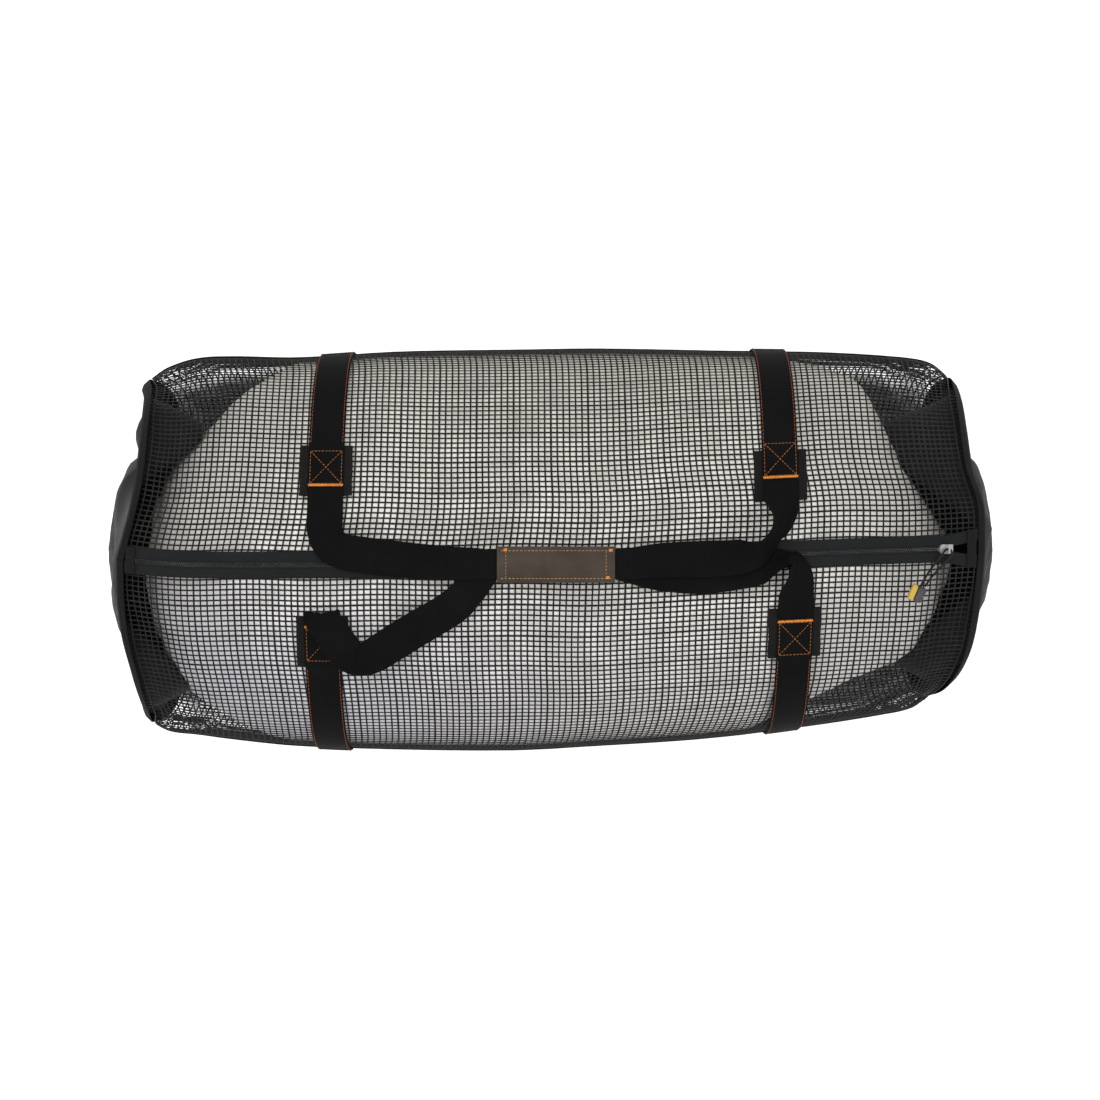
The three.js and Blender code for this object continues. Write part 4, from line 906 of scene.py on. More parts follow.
def make_net():
    count = int(2 * HALF_LENGTH * END_SHARE / PITCH_ALONG)
    stations = np.linspace(-NET_END, NET_END, count)
    for part, (lower, points, step, first, flat_length) in NET_PARTS.items():
        for name, side in SIDES:
            strands = crosswise(side, lower, stations, points)
            strands += lengthwise(side, lower, np.arange(first, DEEPEST, PITCH_ROUND), step)
            piece = tubes(f"net_{part}_{name}", strands, net_coat)
            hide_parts("mesh_bottom" if lower else f"mesh_top_{name}")


make_net()


# The stuffing
END_BULGE = 13.0
END_TURNS = (0.25, 1.45, 6)
CLOTH_ZONE = 250.0
CLOTH_ROOM = 5.0
CLOTH_NEIGHBOURS = 4
CLOTH_SOFTENING = 0.5
STUFFING_ROWS = 150
STUFFING_COLUMNS = 220
CROWDING = 0.275
LARGE_DENTS = 5.0
SMALL_DENTS = 2.6


def behind_end_cloth(points):
    """The stuffing's points, moved in where an end cloth would cut into the stuffing."""
    for name, end in ENDS.items():
        sign = float(end[0])
        cloth_points = inner_end_cloth[name]
        tree = kdtree.KDTree(len(cloth_points))
        for i, (_, y, z) in enumerate(cloth_points):
            tree.insert((0, y, z), i)
        tree.balance()
        for place in points.reshape(-1, 3):
            if sign * place[0] < CLOTH_ZONE:
                continue
            found = tree.find_n((0, place[1], place[2]), CLOTH_NEIGHBOURS)
            weights = np.array([1 / (distance + CLOTH_SOFTENING) for _, _, distance in found])
            nearest = np.array([sign * cloth_points[i][0] for _, i, _ in found])
            weighed = (nearest * weights).sum() / weights.sum()
            limit = min(weighed, nearest.min() + CLOTH_ROOM / 2) - CLOTH_ROOM
            place[0] = sign * min(sign * place[0], limit)
    return points


def make_stuffing():
    ends = STUFFING_SECTIONS["at"]
    even = np.linspace(-1, 1, STUFFING_ROWS)
    crowd = 0.5 + CROWDING * crowded(STUFFING_ROWS) + (0.5 - CROWDING) * even
    station = lerp(ends[0], ends[-1], crowd)
    girth = np.arange(STUFFING_COLUMNS) * 2 / STUFFING_COLUMNS
    s, g = np.meshgrid(station, girth, indexing="ij")
    middle = skin_point(station, 0.0)
    seam = smooth(STATIONS, "seam", station)[:, None] * SEAM_HEIGHT
    u, v = s * HALF_LENGTH, g * GIRTH_LENGTH
    large = np.abs(ripples("large_dents")(u, v))
    small = np.abs(ripples("small_dents")(u, v))
    skin = on_skin(s, g, -(STUFFING_DEPTH + LARGE_DENTS * large + SMALL_DENTS * small))
    side = girth_side(g)[0]
    across = np.minimum(by_side(STUFFING_SECTIONS, side, s), 1)
    up = np.minimum(by_side(STUFFING_SECTIONS, skin[..., 2] - seam, s, "top", "bottom"), 1)
    x, y = (lerp(middle[:, None, i], skin[..., i], across) for i in (0, 1))
    points = grid_of(x, y, lerp(seam, skin[..., 2], up))
    caps = []
    for row, sign in ((0, -1), (-1, 1)):
        centre = points[row].mean(axis=0)
        bulge = np.array([sign * END_BULGE, 0, 0])
        caps.append(np.array([centre + (points[row] - centre) * math.cos(a) + bulge * math.sin(a)
                              for a in np.linspace(*END_TURNS)]))
    points = behind_end_cloth(np.ascontiguousarray(np.concatenate([caps[0][::-1], points, caps[1]])))
    tips = np.array([points[0].mean(axis=0), points[-1].mean(axis=0)])
    piece = capped("stuffing_fill", points, tips, stuffing_material)
    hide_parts("stuffing")


# Round end panels of coated fabric
DOME_POWER = 1.6
ENDS = {"left": (-1, -0.04, 0.43), "right": (1, 0.03, 0.43)}


def dome_point(end, ring, girth):
    sign, across, up = end
    rim = skin_point(np.full_like(girth, float(sign)), girth)
    tip = np.array([sign * HALF_LENGTH, across * HALF_WIDTH, up * BAG_HEIGHT])
    flat = lerp(tip, rim, ring[..., None])
    flat[..., 0] = lerp(tip[0], rim[..., 0], ring ** DOME_POWER)
    return flat


RING_STEP = 0.01


def dome_normal(end, ring, girth):
    outward = np.array([float(end[0]), 0.0, 0.0])
    low = np.maximum(ring - RING_STEP, 0)
    across = dome_point(end, ring + RING_STEP, girth) - dome_point(end, low, girth)
    around = dome_point(end, ring, girth + GIRTH_STEP) - dome_point(end, ring, girth - GIRTH_STEP)
    normal = unit(np.cross(across, around))
    normal = np.where((normal @ outward)[..., None] < 0, -normal, normal)
    return np.where((ring < RING_STEP)[..., None], outward, normal)


def on_dome(end, ring, girth, height):
    height = np.asarray(height, float)
    return dome_point(end, ring, girth) + dome_normal(end, ring, girth) * height[..., None]


# Pleats where the slack end cloth falls inward, and below 0 where it bellies out. girth: their middle.
# reach: half their length round the end. ring: their middle out from the centre. depth: millimetres.
PLEATS = {
    "left": table("girth reach ring depth", [(0.4, 0.15, 0.78, 70), (0.7, 0.22, 0.83, -24),
                                             (1.56, 0.2, 0.8, 52), (1.3, 0.12, 0.76, -6)]),
    "right": table("girth reach ring depth", [(0.34, 0.21, 0.76, 88), (0.7, 0.18, 0.83, -13),
                                              (1.57, 0.24, 0.78, 62)]),
}
PLEAT_WIDTH = 0.13
PLEATS_END = 0.9
CLOTH_EDGE = 0.985
FIRST_RING = 0.04
END_RINGS = 34
END_COLUMNS = 200
END_WEAVE = 180.0
FOLDS_START = 0.15
FOLDS_END = 0.86
SOFT_FOLDS = 7.0
FINE_FOLDS = 2.2
# Where each row of the end binding lies, as a share of its flap: below 0 on the net, above 0 on the end
BINDING_ROWS = (-1.0, -0.93, -0.6, -0.25, 0.0, 0.25, 0.6, 0.93, 1.0)
BINDING_COLUMNS = 260
BINDING_ACROSS = 13.0
CORNER_SHARE = 0.9
EDGE_SHARE = 0.35
WOBBLE = 0.3
inner_end_cloth = {}


def pleat_depth(name, ring, girth):
    depth = 0
    rows = PLEATS[name]
    for middle, reach, place, most in zip(rows["girth"], rows["reach"], rows["ring"], rows["depth"]):
        round_end = np.exp(-np.abs((girth - middle) / reach) ** 3)
        outward = np.exp(-((ring - place) / PLEAT_WIDTH) ** 2)
        depth = depth + most * round_end * outward * (1 - smoothstep(ring, PLEATS_END, CLOTH_EDGE))
    return depth


def make_end_panel(name, end):
    rings = np.concatenate([[0.0], np.linspace(FIRST_RING, CLOTH_EDGE, END_RINGS)])
    girths = np.arange(END_COLUMNS) * 2 / END_COLUMNS
    g, r = np.meshgrid(girths, rings, indexing="ij")
    step = 3 * end[0]
    y, z = r * np.cos(math.pi * g), r * np.sin(math.pi * g)
    window = (1 - smoothstep(r, FOLDS_END, CLOTH_EDGE)) * smoothstep(r, 0.0, FOLDS_START)
    soft = np.abs(ripples("end_folds", step)(y, z))
    fine = np.abs(ripples("end_creases", step)(y, z))
    push = -(SOFT_FOLDS * soft + FINE_FOLDS * fine) * window
    top = on_dome(end, r, g, push)
    bottom = on_dome(end, r, g, push - PANEL_WALL)
    inward = -end[0] * pleat_depth(name, r, g)
    top[..., 0] += inward
    bottom[..., 0] += inward
    inner_end_cloth[name] = bottom.reshape(-1, 3)
    uv = grid_of(y, z) * END_WEAVE
    piece = shell(f"end_cloth_{name}", top, bottom, coated, "coated_fabric", uv, close_rows=True)
    clean(piece)
    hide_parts(f"end_panel_{name}")


def make_end_binding(name, end):
    girths = np.arange(BINDING_COLUMNS) * 2 / BINDING_COLUMNS
    sign = float(end[0])
    wobble = ripples("end_binding")(girths * GIRTH_LENGTH, 0 * girths)
    rim = skin_point(np.full_like(girths, sign), girths)
    tip = dome_point(end, np.zeros(1), np.zeros(1))[0]
    net_normal = skin_normal(np.full_like(girths, sign), girths)
    panel_normal = dome_normal(end, np.ones_like(girths), girths)
    corner = (net_normal + panel_normal) / (1 + (net_normal * panel_normal).sum(axis=1))[:, None]
    reach = np.linalg.norm(rim - tip, axis=1)
    faces = []
    for wall, corner_share in ((GAP + BINDING_WALL, CORNER_SHARE), (GAP, 1.0)):
        rows = []
        for share in BINDING_ROWS:
            flap = share * (END_BINDING_FLAP + WOBBLE * wobble)
            height = lerp(GAP + BINDING_WALL / 2, wall, EDGE_SHARE) if abs(share) == 1 else wall
            if share < 0:
                rows.append(on_skin(sign * (1 + flap / (HALF_LENGTH * END_SHARE)), girths, height))
            elif share > 0:
                rows.append(on_dome(end, 1 - flap / reach, girths, height))
            else:
                rows.append(rim + corner * wall * corner_share)
        faces.append(np.stack(rows, axis=1))
    uv = grid_of(girths[:, None] * GIRTH_LENGTH, np.linspace(0, BINDING_ACROSS, len(BINDING_ROWS)))
    piece = shell(f"end_trim_{name}", *faces, binding, "binding", uv, close_rows=True)
    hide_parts(f"end_binding_{name}")


for end_name, end_form in ENDS.items():
    make_end_panel(end_name, end_form)
    make_end_binding(end_name, end_form)
make_stuffing()


# Flat trim laid on the skin
EDGE_FORM = 0.2
TAPE_COLUMNS = 13
PATCH_COLUMNS = 27
PATCH_EDGE_FORM = 0.06
PATCH_SHARP = 16
TAB_COLUMNS = 25
TAB_EDGE_FORM = 0.1
TAB_SHARP = 20


def edge_form(columns, sharp=10):
    """Places across a tape from -1 to 1, closer at its edges, and its thickness there, from 0 to 1."""
    across = crowded(columns)
    return across, lerp(EDGE_FORM, 1.0, np.maximum(1 - np.abs(across) ** sharp, 0.0) ** 0.5)


def faces_of(base, wall, form):
    """The heights of a tape's two faces, rounded off at its edges."""
    return base + wall * (0.5 + 0.5 * form), base + wall * (0.5 - 0.5 * form)


def tape_on_skin(name, station, girth, high, low, material, slot, uv):
    """A tape laid on the net between two heights. All grids are (rows, columns)."""
    return shell(name, on_skin(station, girth, high), on_skin(station, girth, low), material, slot, uv)


# Where the side seam rolls up onto the top: place, half its length, rise, in millimetres
SEAM_ROLLS = {
    "back": [(-322, 80, 11.0), (325, 60, 9.0)],
    "front": [(-285, 60, 8.0), (345, 60, 8.0)],
}


SEAM_LUMPS = 0.075
SEAM_RIDGE = 0.15
SEAM_RIDGE_REACH = 0.25
SEAM_WOBBLE = 0.8
SIDE_ROWS = 300
SEAM_SUNK = 0.3


def make_side_bindings():
    across, form = edge_form(11)
    for name, side in SIDES:
        station = np.linspace(-FLAP_END, FLAP_END, SIDE_ROWS)
        length, seam = half_girth(station, side)
        along = station * HALF_LENGTH * END_SHARE
        wobble = ripples("side_wobble", side)(along, np.zeros(SIDE_ROWS))
        x = skin_point(station, girth_of(side, seam))[:, 0]
        roll = sum(rise * np.exp(-np.abs((x - place) / span) ** 4) for place, span, rise in SEAM_ROLLS[name])
        middle = girth_of(side, seam - roll / 2 / length) + SEAM_WOBBLE * wobble / length
        s, a = np.meshgrid(station, across, indexing="ij")
        girth = middle[:, None] + a * ((SIDE_BINDING_WIDTH + roll) / 2 / length)[:, None]
        lumps = SEAM_LUMPS * (1 + ripples("side_lumps", side)(along[:, None], 7 * a))
        ridge = SEAM_RIDGE * np.exp(-(a / SEAM_RIDGE_REACH) ** 2)
        high, low = faces_of(GAP, BINDING_WALL, form)
        uv = grid_of(along[:, None], a * SIDE_BINDING_WIDTH / 2)
        piece = tape_on_skin(f"side_trim_{name}", s, girth, high - SEAM_SUNK + ridge + lumps, low, binding,
                             "binding", uv)
        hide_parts(f"side_binding_{name}")


make_side_bindings()


# Zip
ZIP_ROWS = 330
ZIP_LUMPS = 0.06
TURN_POINTS = 7
CORE_ROWS = 150
COIL_PITCH = 2.1
COIL_REACH = 2.4
COIL_OVERLAP = 0.5
COIL_LIFT = 0.35
COIL_RISE = 1.55
COIL_LEAN = 0.25
COIL_WIDTH = 0.55
COIL_DEPTH = 0.45
COIL_END = 0.6
COIL_MARGIN = 0.5
CORE_PLACE = 1.9
CORE_LIFT = 0.55
CORE_WIDTH = 0.6
CORE_DEPTH = 0.5


def make_zip():
    across, form = edge_form(9, 14)
    along_tape = TAPE_WIDTH * (0.5 + 0.5 * across)
    for name, side in SIDES:
        station = np.linspace(-FLAP_END, FLAP_END, ZIP_ROWS)
        length = half_girth(station, side)[0]
        x = skin_point(station, 0.0)[:, 0]
        share = (mouth_half(x)[:, None] + along_tape) / length[:, None]
        lumps = ZIP_LUMPS * (1 + ripples("zip_lumps", side)(x[:, None], 9 * across))
        high, low = faces_of(GAP, TAPE_WALL, form)
        piece = tape_on_skin(f"zip_cloth_{name}", station[:, None], girth_of(side, share), high - lumps, low,
                             zip_cloth, "zip_tape", grid_of(x[:, None], along_tape))
        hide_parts(f"zip_tape_{name}")
    make_coil()
    make_tab("left", zip_start + TAB_INSET)
    make_tab("right", zip_finish - TAB_INSET - TAB_LENGTH)


def zip_line(x):
    """The tape's face along the middle of the zip."""
    return on_skin(station_at(x, np.zeros_like(x)), np.zeros_like(x), TAPE_LIFT)


def diamonds(centres, out, up):
    """Four corners round each centre."""
    return np.stack([centres + out, centres + up, centres - out, centres - up], axis=-2)


def make_coil():
    """Two rows of coil turns that hook into each other, and a stitched cord along each row."""
    start = zip_start + TAB_INSET + TAB_LENGTH + GAP
    finish = slider_place - SLIDER_LENGTH / 2 - GAP
    strands = []
    places = np.arange(start + COIL_END, finish - COIL_END, COIL_PITCH)
    turn = np.linspace(0, math.pi, TURN_POINTS)
    flat = np.array([1.0, 0, 0])
    for side in (1, -1):
        x = places + (0 if side > 0 else COIL_PITCH / 2)
        y = side * lerp(COIL_REACH, -COIL_OVERLAP, turn / math.pi)
        arc = grid_of(COIL_LEAN * np.cos(turn), y, COIL_LIFT + COIL_RISE * np.sin(turn))
        for point in zip_line(x[x < finish - COIL_MARGIN]):
            line = point + arc
            up = unit(np.cross(flat, unit(np.gradient(line, axis=0))))
            strands.append(diamonds(line, COIL_WIDTH * flat, COIL_DEPTH * up))
    base = zip_line(np.linspace(start, finish, CORE_ROWS))
    for side in (1, -1):
        strands.append(diamonds(base + np.array([0, side * CORE_PLACE, CORE_LIFT]),
                                np.array([0, CORE_WIDTH, 0]), np.array([0, 0, CORE_DEPTH])))
    piece = tubes("zip_coil_teeth", strands, coil_plastic)
    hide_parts("zip_coil")


def make_tab(name, start):
    x = np.linspace(start, start + TAB_LENGTH, TAPE_COLUMNS)[:, None]
    reach = float(mouth_half(start + TAB_LENGTH / 2)) + TAPE_WIDTH
    across = crowded(TAB_COLUMNS)
    lengths = {side: half_girth(station_at(x[:, 0], 0.0), side)[0][:, None] for side in (1, -1)}
    girth = girth_of(across >= 0, np.abs(across) * reach / np.where(across >= 0, lengths[1], lengths[-1]))
    closing = np.maximum(1 - np.abs(across) ** TAB_SHARP, TAB_EDGE_FORM) ** 0.5
    form = edge_form(TAPE_COLUMNS)[1][:, None] * closing
    high, low = faces_of(TAPE_LIFT, BINDING_WALL, form)
    piece = tape_on_skin(f"zip_end_{name}", station_at(x, girth), girth, high, low, binding, "binding",
                         grid_of(x, across * reach))
    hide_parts(f"zip_tab_{name}")


make_zip()
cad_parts["zip_slider"].data.materials.clear()
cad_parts["zip_slider"].data.materials.append(slider_paint)


# Stitches
STITCH_RINGS = ((0.02, 0.45, -0.2), (0.25, 0.95, 0.75), (0.75, 0.95, 0.75), (0.98, 0.45, -0.2))
# Pitch, length and width of the stitches of each seam
STITCHES = {
    "patch": (3.0, 2.3, 0.6),
    "edge": (4.2, 3.2, 0.75),
    "box": (3.4, 2.7, 0.72),
    "sleeve": (3.6, 2.7, 0.8),
    "sleeve_end": (3.2, 2.5, 0.8),
}
STITCH_LIFT = 0.35


def stitch_rings(start, finish, normal, width, lift):
    """One stitch: a spindle from start to finish that rises off the cloth."""
    along = finish - start
    across = unit(np.cross(normal, along))
    return np.array([
        diamonds(start + along * share + normal * lift * rise, across * width / 2 * size,
                 normal * width / 2 * size)
        for share, size, rise in STITCH_RINGS
    ])


def stitched_line(points, normals, kind):
    """Stitches of a kind along a line of points."""
    pitch, stitch, width = STITCHES[kind]
    run = run_along(points)
    made = []
    count = max(1, int(run[-1] / pitch))
    for i in range(count):
        near = run[-1] * i / count + (run[-1] / count - stitch) / 2
        a, b = (np.array([np.interp(p, run, points[:, c]) for c in range(3)]) for p in (near, near + stitch))
        normal = unit(np.array([np.interp(near + stitch / 2, run, normals[:, c]) for c in range(3)]))
        made.append(stitch_rings(a, b, normal, width, STITCH_LIFT))
    return made


# Patches and girth straps
STEP_RUN = 7.0
STEP_MARGIN = 0.5
PATCH_WOBBLE = 0.015
PATCH_SEAM = 0.9


def strap_x(strap, side):
    return strap["back" if side > 0 else "front"] * HALF_LENGTH


def patch_edge(strap, side):
    return strap["back_patch" if side > 0 else "front_patch"] * BAG_WIDTH


def tack_distance(strap, side):
    return patch_edge(strap, side) + strap["back_tack" if side > 0 else "front_tack"] * PATCH_SIZE


def strap_height(strap, x, girth):
    side, share = girth_side(girth)
    station = np.clip(station_at(x, girth), -1, 1)
    shape = station.shape
    run = section(station.ravel(), side.ravel())[2]
    length = run[:, -1].reshape(shape)
    seam = run[:, SAMPLES // 2].reshape(shape)
    distance = share * length
    edge = np.where(side > 0, patch_edge(strap, 1), patch_edge(strap, -1))
    past = distance - (edge + PATCH_SIZE + STEP_MARGIN)
    patch = (PATCH_LIFT - GAP) * (1 - smoothstep(past, 0, STEP_RUN))
    over = np.abs(distance - seam) - (SIDE_BINDING_WIDTH / 2 + STEP_MARGIN)
    bound = (BINDING_LIFT - GAP) * (1 - smoothstep(over, 0, STEP_RUN))
    return GAP + patch + bound


CROSSING_TURN = (0.2, 0.8)


def strap_middle(strap, girth):
    turn = smoothstep(np.clip(girth / 2, 0, 1), *CROSSING_TURN)
    return lerp(strap_x(strap, 1), strap_x(strap, -1), turn)


def make_patch(name, strap, side):
    key = "back" if side > 0 else "front"
    middle, near = strap_x(strap, side), patch_edge(strap, side)
    share = crowded(PATCH_COLUMNS)
    a, d = np.meshgrid(share, share, indexing="ij")
    wobble = ripples("patch_wobble", len(name) + side)
    x = middle + PATCH_SIZE / 2 * a * (1 - PATCH_WOBBLE * (1 - wobble(d, 0 * d)))
    distance = near + PATCH_SIZE * (0.5 + 0.5 * d * (1 - PATCH_WOBBLE * (1 - wobble(a, 3 + 0 * a))))
    length = half_girth(station_at(x.ravel(), 0.0), side)[0].reshape(x.shape)
    girth = girth_of(side, distance / length)
    by_a, by_d = (np.maximum(1 - np.abs(v) ** PATCH_SHARP, PATCH_EDGE_FORM) for v in (a, d))
    form = np.sqrt(by_a * by_d)
    high, low = faces_of(GAP, PATCH_WALL, form)
    piece = tape_on_skin(f"patch_cloth_{key}_{name}", station_at(x, girth), girth, high, low, patch_cloth,
                         "patch_fabric", grid_of(x, distance))
    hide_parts(f"patch_{key}_{name}")
    strands = []
    line = np.linspace(-PATCH_SEAM, PATCH_SEAM, 40)
    for edge in (-PATCH_SEAM, PATCH_SEAM):
        edges = np.full_like(line, edge)
        for a, d in ((edges, line), (line, edges)):
            x = middle + PATCH_SIZE / 2 * a
            girth = girth_at_distance(x, side, near + PATCH_SIZE * (0.5 + 0.5 * d))
            station = station_at(x, girth)
            strands += stitched_line(on_skin(station, girth, GAP + PATCH_WALL), skin_normal(station, girth),
                                     "patch")
    return strands


def strap_place(strap, side, across, distance):
    """A place on the strap's outer face: across it in millimetres, at a distance from the zip."""
    across, distance = np.broadcast_arrays(np.asarray(across, float), np.asarray(distance, float))
    x0 = strap_x(strap, side) + across
    girth = girth_at_distance(x0, side, distance)
    x = strap_middle(strap, girth) + across
    station = station_at(x, girth)
    height = strap_height(strap, x, girth) + WEBBING_WALL
    return on_skin(station, girth, height), skin_normal(station, girth)


STRAP_ROWS = 340
EDGE_SEAM_POINTS = 200
BOX_LINE_POINTS = 30
EDGE_SEAM_INSET = 1.9
EDGE_SEAM_START = 2.0
EDGE_SEAM_END = 0.995
BOX_INSET = 2.2
BOX_START = 3.0
BOX_LENGTH = 33.0
# The corners of a box seam that each of its six lines joins
BOX_LINES = ((0, 1), (1, 2), (2, 3), (3, 0), (0, 2), (1, 3))
TACK_PLACE = 1.6
TACK_HALF = 1.5
TACK_LEAN = 0.5
TACK_PAST_BOX = 1.2
TACK_STITCHES = 46
TACK_STITCH_WIDTH = 1.0
TACK_LIFT = 0.45


def make_strap(name, strap):
    ends = [girth_at_distance(strap_x(strap, side), side, tack_distance(strap, side) + GAP)[0]
            for side in (1, -1)]
    girth = np.linspace(*ends, STRAP_ROWS)[:, None]
    across, form = edge_form(TAPE_COLUMNS, 12)
    across = across * WEBBING_WIDTH / 2
    x = strap_middle(strap, girth) + across
    girth = np.broadcast_to(girth, x.shape)
    high, low = faces_of(strap_height(strap, x, girth), WEBBING_WALL, form)
    station = station_at(x, girth)
    top, bottom = on_skin(station, girth, high), on_skin(station, girth, low)
    uv = grid_of(run_along(top[:, TAPE_COLUMNS // 2])[:, None], across)
    piece = shell(f"strap_web_{name}", top, bottom, webbing, "webbing", uv)
    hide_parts(f"strap_{name}")
    edges, boxes, bars = [], [], []
    for offset in (EDGE_SEAM_INSET - WEBBING_WIDTH / 2, WEBBING_WIDTH / 2 - EDGE_SEAM_INSET):
        for side in (1, -1):
            begin = patch_edge(strap, side) + PATCH_SIZE + EDGE_SEAM_START
            length = float(half_girth(station_at(strap_x(strap, side), 0.0), side)[0][0])
            places = np.linspace(begin, length * EDGE_SEAM_END, EDGE_SEAM_POINTS)
            edges += stitched_line(*strap_place(strap, side, offset, places), "edge")
    half = WEBBING_WIDTH / 2 - BOX_INSET
    for side in (1, -1):
        near = tack_distance(strap, side) + BOX_START
        far = near + BOX_LENGTH
        corners = np.array([(-half, near), (half, near), (half, far), (-half, far)])
        for a, b in BOX_LINES:
            places = lerp(corners[a], corners[b], np.linspace(0, 1, BOX_LINE_POINTS)[:, None])
            boxes += stitched_line(*strap_place(strap, side, places[:, 0], places[:, 1]), "box")
        bar = tack_distance(strap, side) + TACK_PLACE
        for i, offset in enumerate(np.linspace(-half - TACK_PAST_BOX, half + TACK_PAST_BOX, TACK_STITCHES)):
            lean = TACK_LEAN if i % 2 else -TACK_LEAN
            line, normals = strap_place(strap, side, np.array([offset - lean, offset + lean]),
                                        np.array([bar - TACK_HALF, bar + TACK_HALF]))
            bars.append(stitch_rings(line[0], line[1], normals[0], TACK_STITCH_WIDTH, TACK_LIFT))
    tubes(f"edge_stitches_{name}", edges, rust_thread)
    tubes(f"box_stitches_{name}", boxes, dull_thread)
    tubes(f"tack_stitches_{name}", bars, orange_thread)


patch_threads = []
for strap_name, strap_row in STRAPS.items():
    patch_threads += make_patch(strap_name, strap_row, 1)
    patch_threads += make_patch(strap_name, strap_row, -1)
    make_strap(strap_name, strap_row)
tubes("patch_stitches", patch_threads, black_thread)

# Handles and the wrap that holds them
wrap_x = 0.0125 * HALF_LENGTH
wrap_y = -0.0705 * HALF_WIDTH
wrap_z = float(on_skin(station_at(wrap_x, np.array(0.0)), np.array(0.0), GRIP_LIFT)[2])
HANDLE_BASE = PATCH_LIFT + WEBBING_WALL / 2
HANDLE_START = 1.0
STACK_STEP = (WEBBING_WALL + 3 * GAP) / 2


def route_points(rows, strap, side, wrap_end):
    start_x = strap_x(strap, side)
    begin = girth_at_distance(start_x, side, tack_distance(strap, side) - HANDLE_START)[0]
    start = skin_point(station_at(start_x, np.array(0.0)), begin)
    x = lerp(start_x, wrap_end, rows["along"])
    y = lerp(start[1], wrap_y, rows["across"])
    width = rows["width"] * WEBBING_WIDTH
    edge_up = width / 2 * np.abs(np.sin(np.radians(rows["tilt"])))
    laid = above_plan(x, y, HANDLE_BASE + edge_up)
    level = above_plan(x, np.full_like(x, wrap_y), np.full_like(x, HANDLE_BASE))[:, 2]
    laid[:, 2] += rows["lift"] * (wrap_z + side * STACK_STEP - level)
    return laid, rows["heading"], rows["tilt"], width


IN_WRAP_SHARES = (-0.36, 0, 0.36)
HANDLE_ROWS = 420
CUP = 1.6
FLAT_ENDS = (4, 40)
WRAP_HOLD = (0.4, 0.7)
CUP_MIDDLE = 0.33


def make_handle(name, side):
    left = route_points(HANDLE_ROUTES[f"{name}_left"], STRAPS["left"], side, wrap_x - WRAP_LENGTH / 2)
    right = route_points(HANDLE_ROUTES[f"{name}_right"], STRAPS["right"], side, wrap_x + WRAP_LENGTH / 2)
    inside = np.array([[wrap_x + share * WRAP_LENGTH, wrap_y, wrap_z + side * STACK_STEP]
                       for share in IN_WRAP_SHARES])
    points = np.concatenate([left[0], inside, right[0][::-1]])
    flat = 90.0 if side > 0 else 270.0
    columns = {"at": np.arange(len(points), dtype=float)}
    for i, (key, middle) in enumerate((("heading", flat), ("tilt", 0.0), ("width", left[3][-1]))):
        columns[key] = np.concatenate([left[i + 1], [middle] * len(inside), right[i + 1][::-1]])
    at = np.linspace(0, len(points) - 1, HANDLE_ROWS)
    share = at / (len(points) - 1)
    middle, along = catmull(points, share), catmull_tangent(points, share)
    heading, tilt = (np.radians(smooth(columns, key, at)) for key in ("heading", "tilt"))
    normal = skin_normal(*place_below(middle[:, 0], middle[:, 1]))
    level = off_axis(grid_of(np.cos(heading), np.sin(heading), 0.0), normal)
    edge = off_axis(level * np.cos(tilt)[:, None] + normal * np.sin(tilt)[:, None], along)
    face = np.cross(along, edge)
    across, form = edge_form(TAPE_COLUMNS, 12)
    places = across * smooth(columns, "width", at)[:, None] / 2
    run = run_along(middle)
    cup = ripples("handle_cup", -side)(run, np.zeros_like(run))
    soft = smoothstep(run, *FLAT_ENDS) * smoothstep(run[-1] - run, *FLAT_ENDS)
    in_wrap = 1 - smoothstep(np.abs(middle[:, 0] - wrap_x) / WRAP_LENGTH, *WRAP_HOLD)
    bend = (CUP * cup * soft * (1 - in_wrap))[:, None] * (across ** 2 - CUP_MIDDLE)
    centre = middle[:, None] + edge[:, None] * places[..., None] + face[:, None] * bend[..., None]
    thick = face[:, None] * (WEBBING_WALL / 2 * form)[:, None]
    piece = shell(f"handle_web_{name}", centre + thick, centre - thick, webbing, "webbing",
                  grid_of(run[:, None], places))
    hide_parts(f"handle_{name}")


for handle_name, handle_side in SIDES:
    make_handle(handle_name, handle_side)


WRAP_COLUMNS = 64
WRAP_ROWS = 60
WRAP_DENTS = 0.35
WRAP_END_RISE = 0.3
WRAP_SQUARENESS = 0.7
SLEEVE_INSET = 4.2
SLEEVE_END_INSET = 8.5
SLEEVE_SUNK = 0.15
TACK_SIZE = np.array([4.0, 0.3, 0.0])
TACK_ROW_STEP = 0.5
TACK_ROWS = 5
TACK_THREAD = 0.8
SLEEVE_SEAM_END = 3.0
SLEEVE_SEAM_SIDE = 4.0
SLEEVE_POINTS = 50
# The tacks at the sleeve's corners: which end and side, and how far from that corner each starts
SLEEVE_TACKS = ((-1, 1, 6.0, -4.5), (1, 1, -6.0, -5.0), (1, -1, -9.0, 4.0))


def sleeve_outline(shrink, turns):
    radius = WRAP_HEIGHT / 2 - shrink
    straight = WRAP_WIDTH / 2 - WRAP_HEIGHT / 2
    y = np.sign(np.cos(turns)) * straight * np.minimum(np.abs(np.cos(turns)) * 4, 1) + radius * np.cos(turns)
    return y, radius * np.sign(np.sin(turns)) * np.abs(np.sin(turns)) ** WRAP_SQUARENESS


def sleeve_seam(start, finish, level, up, kind):
    """A straight seam between two places on one face of the sleeve."""
    share = np.linspace(0, 1, SLEEVE_POINTS)
    line = grid_of(*(lerp(a, b, share) for a, b in zip(start, finish)), level)
    return stitched_line(line, np.tile(up, (SLEEVE_POINTS, 1)), kind)


